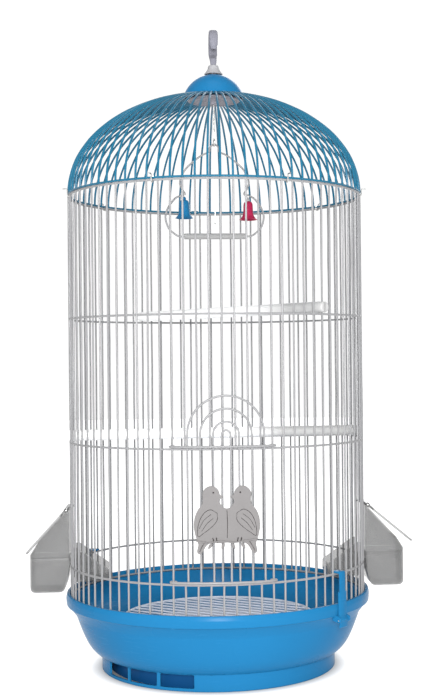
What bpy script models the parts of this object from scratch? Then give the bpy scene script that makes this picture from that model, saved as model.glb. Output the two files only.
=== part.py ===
# Round wire bird cage with a domed top, a moulded tray, two hung feeders, perches and a swing.
# Metres, +Z up. The origin is the centre of the tray's foot on the ground and the door faces -Y.
# An azimuth is counted from the front, -Y, and grows towards +X.

import bpy
import bmesh
from math import atan2, cos, degrees, pi, radians, sin, sqrt
from mathutils import Matrix, Vector

# Clearances
FIT_GAP = 0.0003
SLIDE_GAP = 0.0004
PIN_PLAY = 0.0002

# Broken edge of a moulded piece
EDGE = 0.0008

# Wire cage
WALL_RADIUS = 0.164
WIRE_COUNT = 80
WIRE_DIAMETER = 0.0021
SLIVER = 0.00006
FOOT_HOOP_HEIGHT = 0.0803
LATCH_HOOP_HEIGHT = 0.116
HOOP_PITCH = 0.1365
FEEDER_RAIL_ABOVE_HOOP = 0.062
DOOR_HALF_PITCHES = 4
FEEDER_HALF_PITCHES = 2

# Dome
DOME_HEIGHT = 0.1185
DOME_FULLNESS = 2.1
DOME_EYE_RADIUS = 0.0332
RIB_SEGMENTS = 4

# Crown: cap, hub and hanging hook
CAP_RADIUS = 0.0346
CAP_RISE = 0.0215
CAP_WALL = 0.0018
HUB_RADIUS = 0.0322
HUB_THICKNESS = 0.0036
HUB_BOSS_RADIUS = 0.0052
HUB_BOSS_DEPTH = 0.0042
COLLAR_RADIUS = 0.0105
COLLAR_TOP_RADIUS = 0.0058
COLLAR_HEIGHT = 0.010
COLLAR_FLARE = 0.0014
COLLAR_FLARE_HEIGHT = 0.0022
COLLAR_TAPER = 0.0009
COLLAR_TAPER_HEIGHT = 0.0062
STEM_RADIUS = 0.0034
STEM_HEAD_RADIUS = 0.0075
STEM_HEAD_HEIGHT = 0.0026
HOOK_RADIUS = 0.0145
HOOK_WIDTH = 0.0102
HOOK_THICKNESS = 0.0056
HOOK_LEG = 0.0055
HOOK_TIP_LENGTH = 0.0025
HOOK_TIP_ANGLE = 200
HOOK_EDGE = 0.0016
STEM_GRIP = 0.0030

# Tray
RIM_RADIUS = 0.1700
RIM_HEIGHT = 0.0857
FLANGE_HEIGHT = 0.0125
NECK_RADIUS = 0.1600
NECK_HEIGHT = 0.0620
BOWL_FOOT_RADIUS = 0.1320
FOOT_HEIGHT = 0.0185
TRAY_WALL = 0.0022
FLOOR_HEIGHT = 0.0450
FLOOR_RADIUS = 0.1140
WINDOW_HEIGHT = 0.0140
WINDOW_SILL = 0.0035
FOOT_STEP = 0.0012
RIM_LIP = 0.0022
BEND_RISE = 0.0040
WINDOW_CENTRES = (-21.7, -40.1, -58.0)
WINDOW_SPAN = 16.4

# Floor grille and liner
GRILLE_RADIUS = 0.1070
GRILLE_HEIGHT = 0.0540
GRILLE_BAR_PITCH = 0.0130
GRILLE_BAR_DIAMETER = 0.0022
GRILLE_SEGMENTS = 48
GRILLE_LEGS = 4
GRILLE_LEG_DIAMETER = 0.0026
GRILLE_BAR_TURN = radians(35)
WIRE_OVERLAP = 0.0001
LINER_RADIUS = 0.1000
LINER_THICKNESS = 0.0008

# Latches
LATCH_AZIMUTHS = {"right": 47.25, "left": -119.25}
LATCH_WIDTH = 0.0126
LATCH_TONGUE_WIDTH = 0.0086
LATCH_THICKNESS = 0.0018
LATCH_PIN_HEIGHT = 0.0690
LATCH_PIN_RADIUS = 0.0010
LATCH_EAR_WIDTH = 0.0030
LATCH_TAB_DROP = 0.0085
LATCH_BARREL_RADIUS = 0.0021
LATCH_HOOK_REACH = 0.0035
EAR_REACH = 0.0024
EAR_ROOT = 0.0060

# Clips between the dome and the wall
CLIP_WIRE_DIAMETER = 0.0015
CLIP_PITCHES = (5.5, 17.5, 28.5, -5.5, -17.5, -28.5)
BACK_CLIP_PITCH = 39.5
CLIP_TAIL = 0.0075
CLIP_STICK_OUT = 0.0010
BACK_CLIP_DROP = 0.0095
CRIMP_PITCH = 41.5
CRIMP_LENGTH = 0.0085
CRIMP_WALL = 0.0008

# Sliding door
DOOR_WIRE_DIAMETER = 0.0021
DOOR_LEG_PITCHES = (3.0, 2.0, 1.0, 0.34)
DOOR_LEG_TOP = 0.012
DOOR_ROD_DIAMETER = 0.0025
DOOR_WELD = 0.0006
PLATE_WIDTH = 0.064
PLATE_HEIGHT = 0.058
PLATE_THICKNESS = 0.0016
PLATE_BOTTOM_ABOVE_HOOP = 0.0300

# Perches
PERCH_DIAMETER = 0.0120
PERCH_OVERHANG = 0.0045
PERCH_SLOT_DEPTH = 0.0090
PERCH_SLOT_WIDTH = 0.0036
UPPER_PERCH_PITCHES = (9, -33)
LOWER_PERCH_PITCHES = (21, -19)

# Swing
SWING_WIRE_DIAMETER = 0.0021
SWING_EYE_RADIUS = 0.0042
SWING_DROP = 0.0500
SWING_HALF_WIDTH = 0.0556
SWING_PERCH_HALF_LENGTH = 0.0350
SWING_PERCH_DIAMETER = 0.0066
SWING_PERCH_DROP = 0.1050
SWING_SHOULDER = ((0.30, 0.86), (0.58, 0.73), (0.70, 0.60), (0.67, 0.52))
SWING_SIDE_LOOP = ((0.605, 0.46), (0.66, 0.44), (0.78, 0.42), (0.90, 0.35), (0.98, 0.27), (1.0, 0.19),
                   (0.94, 0.09), (0.80, 0.02))

# Bells
BELL_X = 0.0372
BELL_RADIUS = 0.0092
BELL_HEIGHT = 0.0205
BELL_WALL = 0.0009
BELL_RING_RADIUS = 0.0027
BELL_RING_WIRE = 0.0012
BELL_BEAD_RADIUS = 0.0022
BELL_OVERLAP = 0.0007
BELL_CROWN = 0.0014
BELL_SHAPE = ((0.0, 0.0), (0.28, 0.0), (0.43, 0.06), (0.51, 0.20), (0.54, 0.59), (0.65, 0.80), (1.0, 1.0))
CLAPPER_RADIUS = 0.0024
CLAPPER_STEM = 0.0085
CLAPPER_STEM_RADIUS = 0.0007

# Feeders
FEEDER_WIDTH = 0.0440
FEEDER_WALL = 0.0015
FEEDER_CUP_DEPTH = 0.0440
FEEDER_CUP_HEIGHT = 0.0400
FEEDER_CUP_CORNER = 0.0060
TROUGH_REACH = 0.0400
TROUGH_DEPTH = 0.0280
HOOD_SHOULDER_RISE = 0.0100
HOOD_TOP_BACKSET = 0.0042
LID_THICKNESS = 0.0016
LID_START = 0.0040
LID_OVERHANG = 0.0100
LID_SIDE_OVERHANG = 0.0012
HINGE_PIN_RADIUS = 0.0011
HINGE_BARREL_RADIUS = 0.0026

# Roundness of the mesh
TRAY_STEPS = 40
CROWN_STEPS = 32
SMALL_STEPS = 16
TINY_STEPS = 12
CAP_ARC_STEPS = 5

WIRE_RADIUS = WIRE_DIAMETER / 2
PITCH_ANGLE = 2 * pi / WIRE_COUNT
DOOR_HOOP_HEIGHT = LATCH_HOOP_HEIGHT + HOOP_PITCH
PERCH_HOOP_HEIGHT = DOOR_HOOP_HEIGHT + HOOP_PITCH
TOP_HOOP_HEIGHT = PERCH_HOOP_HEIGHT + HOOP_PITCH
FEEDER_RAIL_HEIGHT = LATCH_HOOP_HEIGHT + FEEDER_RAIL_ABOVE_HOOP
DOME_RING_HEIGHT = TOP_HOOP_HEIGHT + WIRE_DIAMETER + FIT_GAP


def remove_everything():
    for scene_object in list(bpy.data.objects):
        bpy.data.objects.remove(scene_object)


def new_collection(name):
    collection = bpy.data.collections.new(name)
    bpy.context.scene.collection.children.link(collection)
    return collection


remove_everything()
PARTS = new_collection("bird_cage")
CUTTERS = new_collection("bird_cage_cutters")


def make_material(name, colour, roughness, metallic=0.0, alpha=1.0):
    material = bpy.data.materials.new(name)
    material.use_nodes = True
    shader = material.node_tree.nodes["Principled BSDF"]
    shader.inputs["Base Color"].default_value = (*colour, 1.0)
    shader.inputs["Roughness"].default_value = roughness
    shader.inputs["Metallic"].default_value = metallic
    shader.inputs["Alpha"].default_value = alpha
    return material


BLUE_PLASTIC = ((0.028, 0.27, 0.60), 0.30)
BLUE_PAINT = ((0.025, 0.24, 0.50), 0.35)
WHITE_PAINT = ((0.72, 0.73, 0.74), 0.35)
WHITE_PLASTIC = ((0.78, 0.78, 0.77), 0.40)
GREY_PLASTIC = ((0.55, 0.55, 0.57), 0.45)
PINK_PLASTIC = ((0.70, 0.05, 0.18), 0.35)
STEEL = ((0.60, 0.61, 0.62), 0.30, 1.0)
CLEAR_PLASTIC = ((0.75, 0.76, 0.76), 0.12, 0.0, 0.45)
PAPER = ((0.62, 0.60, 0.57), 0.90)


def add_object(name, data, finish):
    scene_object = bpy.data.objects.new(name, data)
    PARTS.objects.link(scene_object)
    if finish:
        data.materials.append(make_material(name, *finish))
    return scene_object


def smooth(mesh, angle=35.0):
    mesh.shade_smooth()
    mesh.set_sharp_from_angle(angle=radians(angle))


def wall_point(azimuth, height, radius=WALL_RADIUS):
    return Vector((radius * sin(azimuth), -radius * cos(azimuth), height))


def put_origin(solid, point):
    """Moves the origin of an unturned object to its pivot and leaves its shape where it is."""
    solid.data.transform(Matrix.Translation(-Vector(point)))
    solid.location = point


def arc(centre, radius, start, end, steps):
    """Points of an arc in a plane, with its angles in degrees."""
    turns = [radians(start + (end - start) * i / steps) for i in range(steps + 1)]
    return [(centre[0] + radius * cos(t), centre[1] + radius * sin(t)) for t in turns]


def lathe(name, profile, steps, finish):
    """Turns a profile, given as radius and height, once around Z."""
    mesh = bpy.data.meshes.new(name)
    vertices = [(radius, 0.0, height) for radius, height in profile]
    edges = [(i, i + 1) for i in range(len(vertices) - 1)]
    if profile[0] == profile[-1]:
        vertices.pop()
        edges[-1] = (len(vertices) - 1, 0)
    mesh.from_pydata(vertices, edges, [])
    turned = add_object(name, mesh, finish)
    screw = turned.modifiers.new("turn", "SCREW")
    screw.axis = "Z"
    screw.steps = steps
    screw.render_steps = steps
    screw.use_merge_vertices = True
    screw.merge_threshold = 0.00001
    screw.use_smooth_shade = True
    return turned


def tube(name, points, diameter, finish, cyclic=False, resolution=1):
    """A round wire along a list of points."""
    curve = bpy.data.curves.new(name, "CURVE")
    curve.dimensions = "3D"
    curve.bevel_depth = diameter / 2
    curve.bevel_resolution = resolution
    curve.use_fill_caps = not cyclic
    spline = curve.splines.new("POLY")
    spline.points.add(len(points) - 1)
    for spline_point, point in zip(spline.points, points):
        spline_point.co = (*point, 1.0)
    spline.use_cyclic_u = cyclic
    return add_object(name, curve, finish)


def flat_outline(name, outline, thickness, finish, holes=()):
    """A plate from an outline in its own XY plane, centred on that plane."""
    curve = bpy.data.curves.new(name, "CURVE")
    curve.dimensions = "2D"
    curve.fill_mode = "BOTH"
    curve.extrude = thickness / 2
    for loop in (outline, *holes):
        spline = curve.splines.new("POLY")
        spline.points.add(len(loop) - 1)
        for spline_point, point in zip(spline.points, loop):
            spline_point.co = (point[0], point[1], 0.0, 1.0)
        spline.use_cyclic_u = True
    return add_object(name, curve, finish)


def as_mesh(source, finish=None):
    """Replaces a curve, or an object with modifiers, by a welded mesh in world space."""
    bpy.context.view_layer.update()
    evaluated = source.evaluated_get(bpy.context.evaluated_depsgraph_get())
    mesh = bpy.data.meshes.new_from_object(evaluated)
    mesh.transform(source.matrix_world)
    solid = bmesh.new()
    solid.from_mesh(mesh)
    bmesh.ops.remove_doubles(solid, verts=solid.verts, dist=0.00001)
    solid.to_mesh(mesh)
    solid.free()
    name = source.name
    bpy.data.objects.remove(source)
    mesh.materials.clear()
    mesh.name = name
    return add_object(name, mesh, finish)


def upright(plate):
    """Turns a plate so that its own X, Y and Z lie along X, Z and -Y."""
    plate.rotation_euler = (pi / 2, 0.0, 0.0)
    return plate


def hide_cutter(cutter):
    cutter.hide_render = True
    cutter.display_type = "WIRE"
    for collection in list(cutter.users_collection):
        collection.objects.unlink(cutter)
    CUTTERS.objects.link(cutter)


def boolean(target, other, operation):
    modifier = target.modifiers.new(operation.lower() + "_" + other.name, "BOOLEAN")
    modifier.operation = operation
    modifier.solver = "EXACT"
    modifier.object = other
    hide_cutter(other)


def cut(target, cutter):
    boolean(target, cutter, "DIFFERENCE")


def join(target, other):
    boolean(target, other, "UNION")


def box(name, low, high, finish=None):
    solid = bmesh.new()
    bmesh.ops.create_cube(solid, size=1.0)
    size = Vector(high) - Vector(low)
    middle = (Vector(high) + Vector(low)) / 2
    bmesh.ops.scale(solid, vec=size, verts=solid.verts)
    bmesh.ops.translate(solid, vec=middle, verts=solid.verts)
    mesh = bpy.data.meshes.new(name)
    solid.to_mesh(mesh)
    solid.free()
    return add_object(name, mesh, finish)


def rod(name, start, end, diameter, steps, finish=None):
    """A straight round rod between two points."""
    start = Vector(start)
    end = Vector(end)
    solid = bmesh.new()
    bmesh.ops.create_cone(solid, cap_ends=True, segments=steps, radius1=diameter / 2,
                          radius2=diameter / 2, depth=(end - start).length)
    turn = Vector((0.0, 0.0, 1.0)).rotation_difference(end - start).to_matrix().to_4x4()
    bmesh.ops.transform(solid, matrix=Matrix.Translation((start + end) / 2) @ turn, verts=solid.verts)
    mesh = bpy.data.meshes.new(name)
    solid.to_mesh(mesh)
    solid.free()
    smooth(mesh)
    return add_object(name, mesh, finish)


# The wire wall: a shell of cells whose edges are the wires and the hoops

def wall_levels(pitch):
    """Heights at which a wall wire meets a hoop or a short rail."""
    levels = [FOOT_HOOP_HEIGHT, LATCH_HOOP_HEIGHT, DOOR_HOOP_HEIGHT, PERCH_HOOP_HEIGHT, TOP_HOOP_HEIGHT]
    if is_feeder_wire(pitch):
        levels.insert(2, FEEDER_RAIL_HEIGHT)
    return levels


def feeder_centres():
    quarter = WIRE_COUNT // 4
    return (quarter, WIRE_COUNT - quarter)


def is_feeder_wire(pitch):
    return any(abs(pitch - centre) <= FEEDER_HALF_PITCHES for centre in feeder_centres())


def cell_between(grid, start, end, low, high):
    """One open cell that spans the wires start to end and the heights low to high."""
    pitches = list(range(start, end + 1))
    bottom = [grid[p % WIRE_COUNT][low] for p in pitches]
    top = [grid[p % WIRE_COUNT][high] for p in reversed(pitches)]
    right = side_points(grid[end % WIRE_COUNT], low, high)
    left = list(reversed(side_points(grid[start % WIRE_COUNT], low, high)))
    return bottom + right + top + left


def side_points(column, low, high):
    return [column[z] for z in sorted(column) if low < z < high]


def wall_cells():
    """Each cell as its first wire, its last wire, its lower and its upper height."""
    merged = [(-DOOR_HALF_PITCHES, DOOR_HALF_PITCHES, LATCH_HOOP_HEIGHT, DOOR_HOOP_HEIGHT)]
    for centre in feeder_centres():
        first = centre - FEEDER_HALF_PITCHES
        last = centre + FEEDER_HALF_PITCHES
        merged.append((first, last, LATCH_HOOP_HEIGHT, FEEDER_RAIL_HEIGHT))
        merged += [(p, p + 1, FEEDER_RAIL_HEIGHT, DOOR_HOOP_HEIGHT) for p in range(first, last)]
    covered = {p % WIRE_COUNT for start, end, _, _ in merged for p in range(start, end)}
    hoops = [FOOT_HOOP_HEIGHT, LATCH_HOOP_HEIGHT, DOOR_HOOP_HEIGHT, PERCH_HOOP_HEIGHT, TOP_HOOP_HEIGHT]
    cells = list(merged)
    for low, high in zip(hoops, hoops[1:]):
        for p in range(WIRE_COUNT):
            if low == LATCH_HOOP_HEIGHT and p in covered:
                continue
            cells.append((p, p + 1, low, high))
    return cells


def make_cage_wall():
    shell = bmesh.new()
    grid = []
    for pitch in range(WIRE_COUNT):
        levels = wall_levels(pitch)
        grid.append({z: shell.verts.new(wall_point(pitch * PITCH_ANGLE, z)) for z in levels})
    for start, end, low, high in wall_cells():
        shell.faces.new(cell_between(grid, start, end, low, high))
    loose = [v for v in shell.verts if not v.link_faces]
    bmesh.ops.delete(shell, geom=loose, context="VERTS")
    mesh = bpy.data.meshes.new("cage_wall")
    shell.to_mesh(mesh)
    shell.free()
    wall = add_object("cage_wall", mesh, WHITE_PAINT)
    wires = wall.modifiers.new("wires", "WIREFRAME")
    wires.thickness = WIRE_DIAMETER
    wires.use_boundary = True
    wires.use_even_offset = True
    wires.use_relative_offset = False
    slivers = wall.modifiers.new("slivers", "WELD")
    slivers.merge_threshold = SLIVER


# The dome: a shell of strips, one for each rib and two rings, thickened

def dome_profile(t):
    """Radius and height of the dome's surface, for t from 0 at the ring to 1 at the eye."""
    power = 2.0 / DOME_FULLNESS
    end = atan2(sqrt(1 - (DOME_EYE_RADIUS / WALL_RADIUS) ** DOME_FULLNESS),
                sqrt((DOME_EYE_RADIUS / WALL_RADIUS) ** DOME_FULLNESS))
    turn = t * end
    radius = WALL_RADIUS * cos(turn) ** power
    return radius, DOME_RING_HEIGHT + DOME_HEIGHT * sin(turn) ** power


def dome_levels():
    """Radius and height of each row: both edges of the two rings and the rib's bends."""
    low = (WALL_RADIUS, DOME_RING_HEIGHT - WIRE_RADIUS)
    lip = (WALL_RADIUS, DOME_RING_HEIGHT + WIRE_RADIUS)
    bends = [dome_profile(i / RIB_SEGMENTS) for i in range(1, RIB_SEGMENTS)]
    eye_radius, eye_height = dome_profile(1.0)
    return [low, lip, *bends, (eye_radius, eye_height), (eye_radius - WIRE_DIAMETER, eye_height)]


def make_dome_frame():
    shell = bmesh.new()
    levels = dome_levels()
    rows = []
    for radius, height in levels:
        half_angle = WIRE_RADIUS / radius
        row = []
        for pitch in range(WIRE_COUNT):
            for side in (-1, 1):
                turn = pitch * PITCH_ANGLE + side * half_angle
                row.append(shell.verts.new(wall_point(turn, height, radius)))
        rows.append(row)
    last = len(levels) - 2
    for i, (lower, upper) in enumerate(zip(rows, rows[1:])):
        step = 1 if i in (0, last) else 2
        for j in range(0, 2 * WIRE_COUNT, step):
            k = (j + 1) % (2 * WIRE_COUNT)
            shell.faces.new((lower[j], lower[k], upper[k], upper[j]))
    mesh = bpy.data.meshes.new("dome_frame")
    shell.to_mesh(mesh)
    shell.free()
    dome = add_object("dome_frame", mesh, BLUE_PAINT)
    wall = dome.modifiers.new("wire", "SOLIDIFY")
    wall.thickness = WIRE_DIAMETER
    wall.offset = 0.0
    wall.use_even_offset = True
    return dome


# Crown

def eye_height():
    return dome_profile(1.0)[1]


def make_cap():
    foot = eye_height() + WIRE_RADIUS + FIT_GAP
    centre = foot + CAP_RISE - cap_sphere_radius()
    outer_radius = cap_sphere_radius()
    inner_radius = outer_radius - CAP_WALL
    hole = STEM_RADIUS + SLIDE_GAP
    steps = CAP_ARC_STEPS
    outer_from = radians(90) - atan2(hole, sqrt(outer_radius ** 2 - hole ** 2))
    outer_to = atan2(foot - centre, CAP_RADIUS)
    inner_to = atan2(foot - centre, sqrt(inner_radius ** 2 - (foot - centre) ** 2))
    outer = [(outer_radius * cos(a), centre + outer_radius * sin(a))
             for a in (outer_from + (outer_to - outer_from) * i / steps for i in range(steps + 1))]
    inner_from = radians(90) - atan2(hole, sqrt(inner_radius ** 2 - hole ** 2))
    inner = [(inner_radius * cos(a), centre + inner_radius * sin(a))
             for a in (inner_to + (inner_from - inner_to) * i / steps for i in range(steps + 1))]
    return lathe("cap", outer + inner + [outer[0]], CROWN_STEPS, BLUE_PLASTIC)


def cap_sphere_radius():
    """Radius of the sphere that the cap is a slice of."""
    return (CAP_RADIUS ** 2 + CAP_RISE ** 2) / (2 * CAP_RISE)


def cap_top():
    return eye_height() + WIRE_RADIUS + FIT_GAP + CAP_RISE


def cap_surface(radius):
    sphere = cap_sphere_radius()
    return cap_top() - sphere + sqrt(sphere ** 2 - radius ** 2)


def make_hub_disc():
    top = eye_height() - WIRE_RADIUS - FIT_GAP
    bottom = top - HUB_THICKNESS
    boss = bottom - HUB_BOSS_DEPTH
    profile = [(0.0, top), (HUB_RADIUS - EDGE, top), (HUB_RADIUS, top - EDGE), (HUB_RADIUS, bottom + EDGE),
               (HUB_RADIUS - EDGE, bottom), (HUB_BOSS_RADIUS, bottom), (HUB_BOSS_RADIUS, boss), (0.0, boss)]
    return lathe("hub_disc", profile, CROWN_STEPS, GREY_PLASTIC)


def hub_boss_bottom():
    return eye_height() - WIRE_RADIUS - FIT_GAP - HUB_THICKNESS - HUB_BOSS_DEPTH


def make_hook_collar():
    bore = STEM_RADIUS + SLIDE_GAP
    seat = cap_surface(COLLAR_RADIUS) + FIT_GAP
    inner_seat = cap_surface(bore) + FIT_GAP
    top = seat + COLLAR_HEIGHT
    profile = [(bore, top), (COLLAR_TOP_RADIUS, top),
               (COLLAR_TOP_RADIUS + COLLAR_TAPER, seat + COLLAR_TAPER_HEIGHT),
               (COLLAR_RADIUS - COLLAR_FLARE, seat + COLLAR_FLARE_HEIGHT), (COLLAR_RADIUS, seat),
               (bore, inner_seat), (bore, top)]
    return lathe("hook_collar", profile, SMALL_STEPS, WHITE_PLASTIC)


def collar_top():
    return cap_surface(COLLAR_RADIUS) + FIT_GAP + COLLAR_HEIGHT


def hook_outline():
    """The hook's outline in its own plane: a leg and an open crook around the leg's line."""
    half = HOOK_THICKNESS / 2
    seat = collar_top() + FIT_GAP
    centre = (0.0, seat + HOOK_LEG + HOOK_RADIUS + half)
    outer = arc(centre, HOOK_RADIUS + half, -78, HOOK_TIP_ANGLE, 16)
    inner = arc(centre, HOOK_RADIUS - half, HOOK_TIP_ANGLE, -74, 14)
    tip_angle = HOOK_TIP_ANGLE + degrees(HOOK_TIP_LENGTH / HOOK_RADIUS)
    tip = arc(centre, HOOK_RADIUS, tip_angle, HOOK_TIP_ANGLE, 1)[:1]
    foot = [(-half, centre[1] - HOOK_RADIUS + half / 2), (-half, seat), (half, seat)]
    return outer + tip + inner + foot


def make_hanging_hook():
    plate = flat_outline("hanging_hook", hook_outline(), HOOK_WIDTH, None)
    plate.rotation_euler = (pi / 2, 0.0, pi / 2)
    hook = as_mesh(plate, WHITE_PLASTIC)
    bevel = hook.modifiers.new("edge", "BEVEL")
    bevel.width = HOOK_EDGE
    bevel.segments = 1
    bevel.limit_method = "ANGLE"
    bevel.angle_limit = radians(50)
    seat = collar_top() + FIT_GAP
    head_top = cap_surface(STEM_HEAD_RADIUS) - 2 * CAP_WALL
    stem_profile = [(0.0, seat + STEM_GRIP), (STEM_RADIUS, seat + STEM_GRIP), (STEM_RADIUS, head_top),
                    (STEM_HEAD_RADIUS, head_top), (STEM_HEAD_RADIUS, head_top - STEM_HEAD_HEIGHT),
                    (0.0, head_top - STEM_HEAD_HEIGHT)]
    stem = lathe("hanging_hook_stem", stem_profile, TINY_STEPS, None)
    join(hook, as_mesh(stem))
    return hook


# Tray

def bowl_outer(t):
    """The outside of the bowl, for t from 0 at the neck to 1 at the foot."""
    turn = t * pi / 2
    radius = BOWL_FOOT_RADIUS + (NECK_RADIUS - BOWL_FOOT_RADIUS) * cos(turn) ** 0.9
    height = NECK_HEIGHT - (NECK_HEIGHT - FOOT_HEIGHT) * sin(turn)
    return radius, height


def rim_inner_radius():
    return WALL_RADIUS + WIRE_RADIUS + 2 * SLIDE_GAP


def hoop_ledge_height():
    return FOOT_HOOP_HEIGHT - WIRE_RADIUS - FIT_GAP


def tray_profile():
    """The whole section: floor, bowl inside, ledge, rim, flange, bowl outside, foot, underside."""
    ledge = hoop_ledge_height()
    ledge_radius = WALL_RADIUS - 2.2 * WIRE_DIAMETER
    inside = [(0.0, FLOOR_HEIGHT), (FLOOR_RADIUS, FLOOR_HEIGHT)]
    bend_top = NECK_HEIGHT + BEND_RISE
    bend_reach = NECK_RADIUS - TRAY_WALL - FLOOR_RADIUS
    bend = [(FLOOR_RADIUS + bend_reach * sin(a), bend_top - (bend_top - FLOOR_HEIGHT) * cos(a))
            for a in map(radians, (22, 44, 66, 90))]
    flange = RIM_HEIGHT - FLANGE_HEIGHT
    rim = [(ledge_radius, ledge), (rim_inner_radius(), ledge), (rim_inner_radius(), RIM_HEIGHT - EDGE),
           (rim_inner_radius() + EDGE, RIM_HEIGHT), (RIM_RADIUS - RIM_LIP, RIM_HEIGHT),
           (RIM_RADIUS - EDGE / 2, RIM_HEIGHT - RIM_LIP), (RIM_RADIUS, RIM_HEIGHT - 2 * RIM_LIP),
           (RIM_RADIUS - EDGE / 2, flange), (RIM_RADIUS - RIM_LIP, flange - EDGE)]
    outside = [bowl_outer(i / 5) for i in range(6)]
    foot_radius = BOWL_FOOT_RADIUS + FOOT_STEP
    foot = [(foot_radius, FOOT_HEIGHT), (foot_radius, 0.0), (foot_radius - TRAY_WALL, 0.0),
            (foot_radius - TRAY_WALL, FOOT_HEIGHT - EDGE)]
    skirt = [(radius - TRAY_WALL, height + EDGE / 2) for radius, height in reversed(outside[1:5])]
    under = FLOOR_HEIGHT - TRAY_WALL
    underside = [(FLOOR_RADIUS + 0.030, under + 0.006), (FLOOR_RADIUS + 0.006, under), (0.0, under)]
    return inside + bend + rim + outside + foot + skirt + underside


def make_tray():
    tray = lathe("tray", tray_profile(), TRAY_STEPS, BLUE_PLASTIC)
    half_width = BOWL_FOOT_RADIUS * radians(WINDOW_SPAN) / 2
    for i, centre in enumerate(WINDOW_CENTRES):
        window = box("window_%d" % (i + 1), (-half_width, -RIM_RADIUS, WINDOW_SILL),
                     (half_width, -FLOOR_RADIUS, WINDOW_SILL + WINDOW_HEIGHT))
        window.rotation_euler = (0.0, 0.0, radians(centre))
        cut(tray, window)
    for azimuth in LATCH_AZIMUTHS.values():
        for side in (-1, 1):
            ear = latch_ear(azimuth, side)
            join(tray, ear)
    return tray


# Latches

def latch_face():
    """Distance from the axis to the latch's back face, which clears the flange."""
    return RIM_RADIUS + FIT_GAP


def latch_pin_radius_from_axis():
    return latch_face() + LATCH_BARREL_RADIUS + PIN_PLAY / 2


def latch_ear(azimuth, side):
    """One of the two lugs on the flange that carry a latch's pin."""
    inner = LATCH_WIDTH / 2 + FIT_GAP
    centre = latch_pin_radius_from_axis()
    root = RIM_RADIUS - EAR_ROOT
    bottom = LATCH_PIN_HEIGHT - EAR_REACH
    top = LATCH_PIN_HEIGHT + EAR_REACH
    outline = [(root, top + 2 * EDGE), (root, top - EDGE), (centre, bottom),
               (centre + EAR_REACH, bottom + EDGE), (centre + EAR_REACH, top - EDGE), (centre + EDGE, top),
               (RIM_RADIUS - EDGE, top + EAR_ROOT / 2)]
    hole = arc((centre, LATCH_PIN_HEIGHT), LATCH_PIN_RADIUS + PIN_PLAY, 0, 315, 7)
    name = "latch_ear_%d_%s" % (round(abs(azimuth)), "a" if side < 0 else "b")
    plate = flat_outline(name, outline, LATCH_EAR_WIDTH, None, holes=[hole])
    plate.matrix_world = Matrix.Rotation(radians(azimuth) - pi / 2, 4, "Z") @ Matrix.Translation(
        (0.0, side * (inner + LATCH_EAR_WIDTH / 2), 0.0)) @ Matrix.Rotation(pi / 2, 4, "X")
    return as_mesh(plate)


def latch_head_height():
    """Height of the latch's hook where it lies on its hoop."""
    return LATCH_HOOP_HEIGHT + WIRE_RADIUS + 2 * FIT_GAP


def latch_outline():
    """Side view of the strap: the hook on top, the barrel round the pin and the finger tab."""
    pivot = (latch_pin_radius_from_axis(), LATCH_PIN_HEIGHT)
    inside = latch_face()
    outside = inside + LATCH_THICKNESS
    under = latch_head_height()
    over = under + LATCH_THICKNESS
    tip = WALL_RADIUS - LATCH_HOOK_REACH
    tab_end = LATCH_PIN_HEIGHT - LATCH_TAB_DROP
    head = [(inside, LATCH_PIN_HEIGHT + LATCH_BARREL_RADIUS), (inside, under - 5 * EDGE),
            (inside - EDGE, under - EDGE / 2), (tip, under), (tip, over), (outside - EDGE, over),
            (outside, under + EDGE / 2), (outside, LATCH_PIN_HEIGHT + LATCH_BARREL_RADIUS + EDGE)]
    tab = [(outside + EDGE, tab_end + EDGE), (outside, tab_end), (outside - EDGE, tab_end + EDGE / 2)]
    front = arc(pivot, LATCH_BARREL_RADIUS, 40, -60, 4)
    back = arc(pivot, LATCH_BARREL_RADIUS, -100, -230, 4)
    return head + front + tab + back


def make_latch(side, azimuth):
    """A strap on the flange whose head hooks over the latch hoop between two wires."""
    pivot = (latch_pin_radius_from_axis(), LATCH_PIN_HEIGHT)
    name = "latch_" + side
    hole = arc(pivot, LATCH_PIN_RADIUS + PIN_PLAY, 0, 315, 7)
    plate = flat_outline(name, latch_outline(), LATCH_WIDTH, None, holes=[hole])
    latch = as_mesh(upright(plate), BLUE_PLASTIC)
    for label, end in (("near", -1), ("far", 1)):
        sides = sorted((end * LATCH_TONGUE_WIDTH / 2, end * LATCH_WIDTH))
        relief = box("%s_relief_%s" % (name, label), (0.0, sides[0], RIM_HEIGHT + FLANGE_HEIGHT),
                     (2 * RIM_RADIUS, sides[1], DOOR_HOOP_HEIGHT))
        cut(latch, relief)
    place_about_axis(latch, azimuth, pivot)
    half = LATCH_WIDTH / 2 + FIT_GAP + LATCH_EAR_WIDTH
    pin = rod("latch_pin_" + side, (pivot[0], -half, pivot[1]), (pivot[0], half, pivot[1]),
              2 * LATCH_PIN_RADIUS, 8, STEEL)
    place_about_axis(pin, azimuth, pivot)


def place_about_axis(solid, azimuth, pivot):
    """Moves a piece that is drawn at +X to its azimuth, with its origin on its pivot."""
    solid.data.transform(Matrix.Translation((-pivot[0], 0.0, -pivot[1])))
    turn = radians(azimuth) - pi / 2
    for modifier in solid.modifiers:
        if modifier.type == "BOOLEAN":
            modifier.object.matrix_world = Matrix.Rotation(turn, 4, "Z") @ modifier.object.matrix_world
    solid.location = Vector((pivot[0] * cos(turn), pivot[0] * sin(turn), pivot[1]))
    solid.rotation_euler = (0.0, 0.0, turn)


# Floor grille and liner

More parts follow.
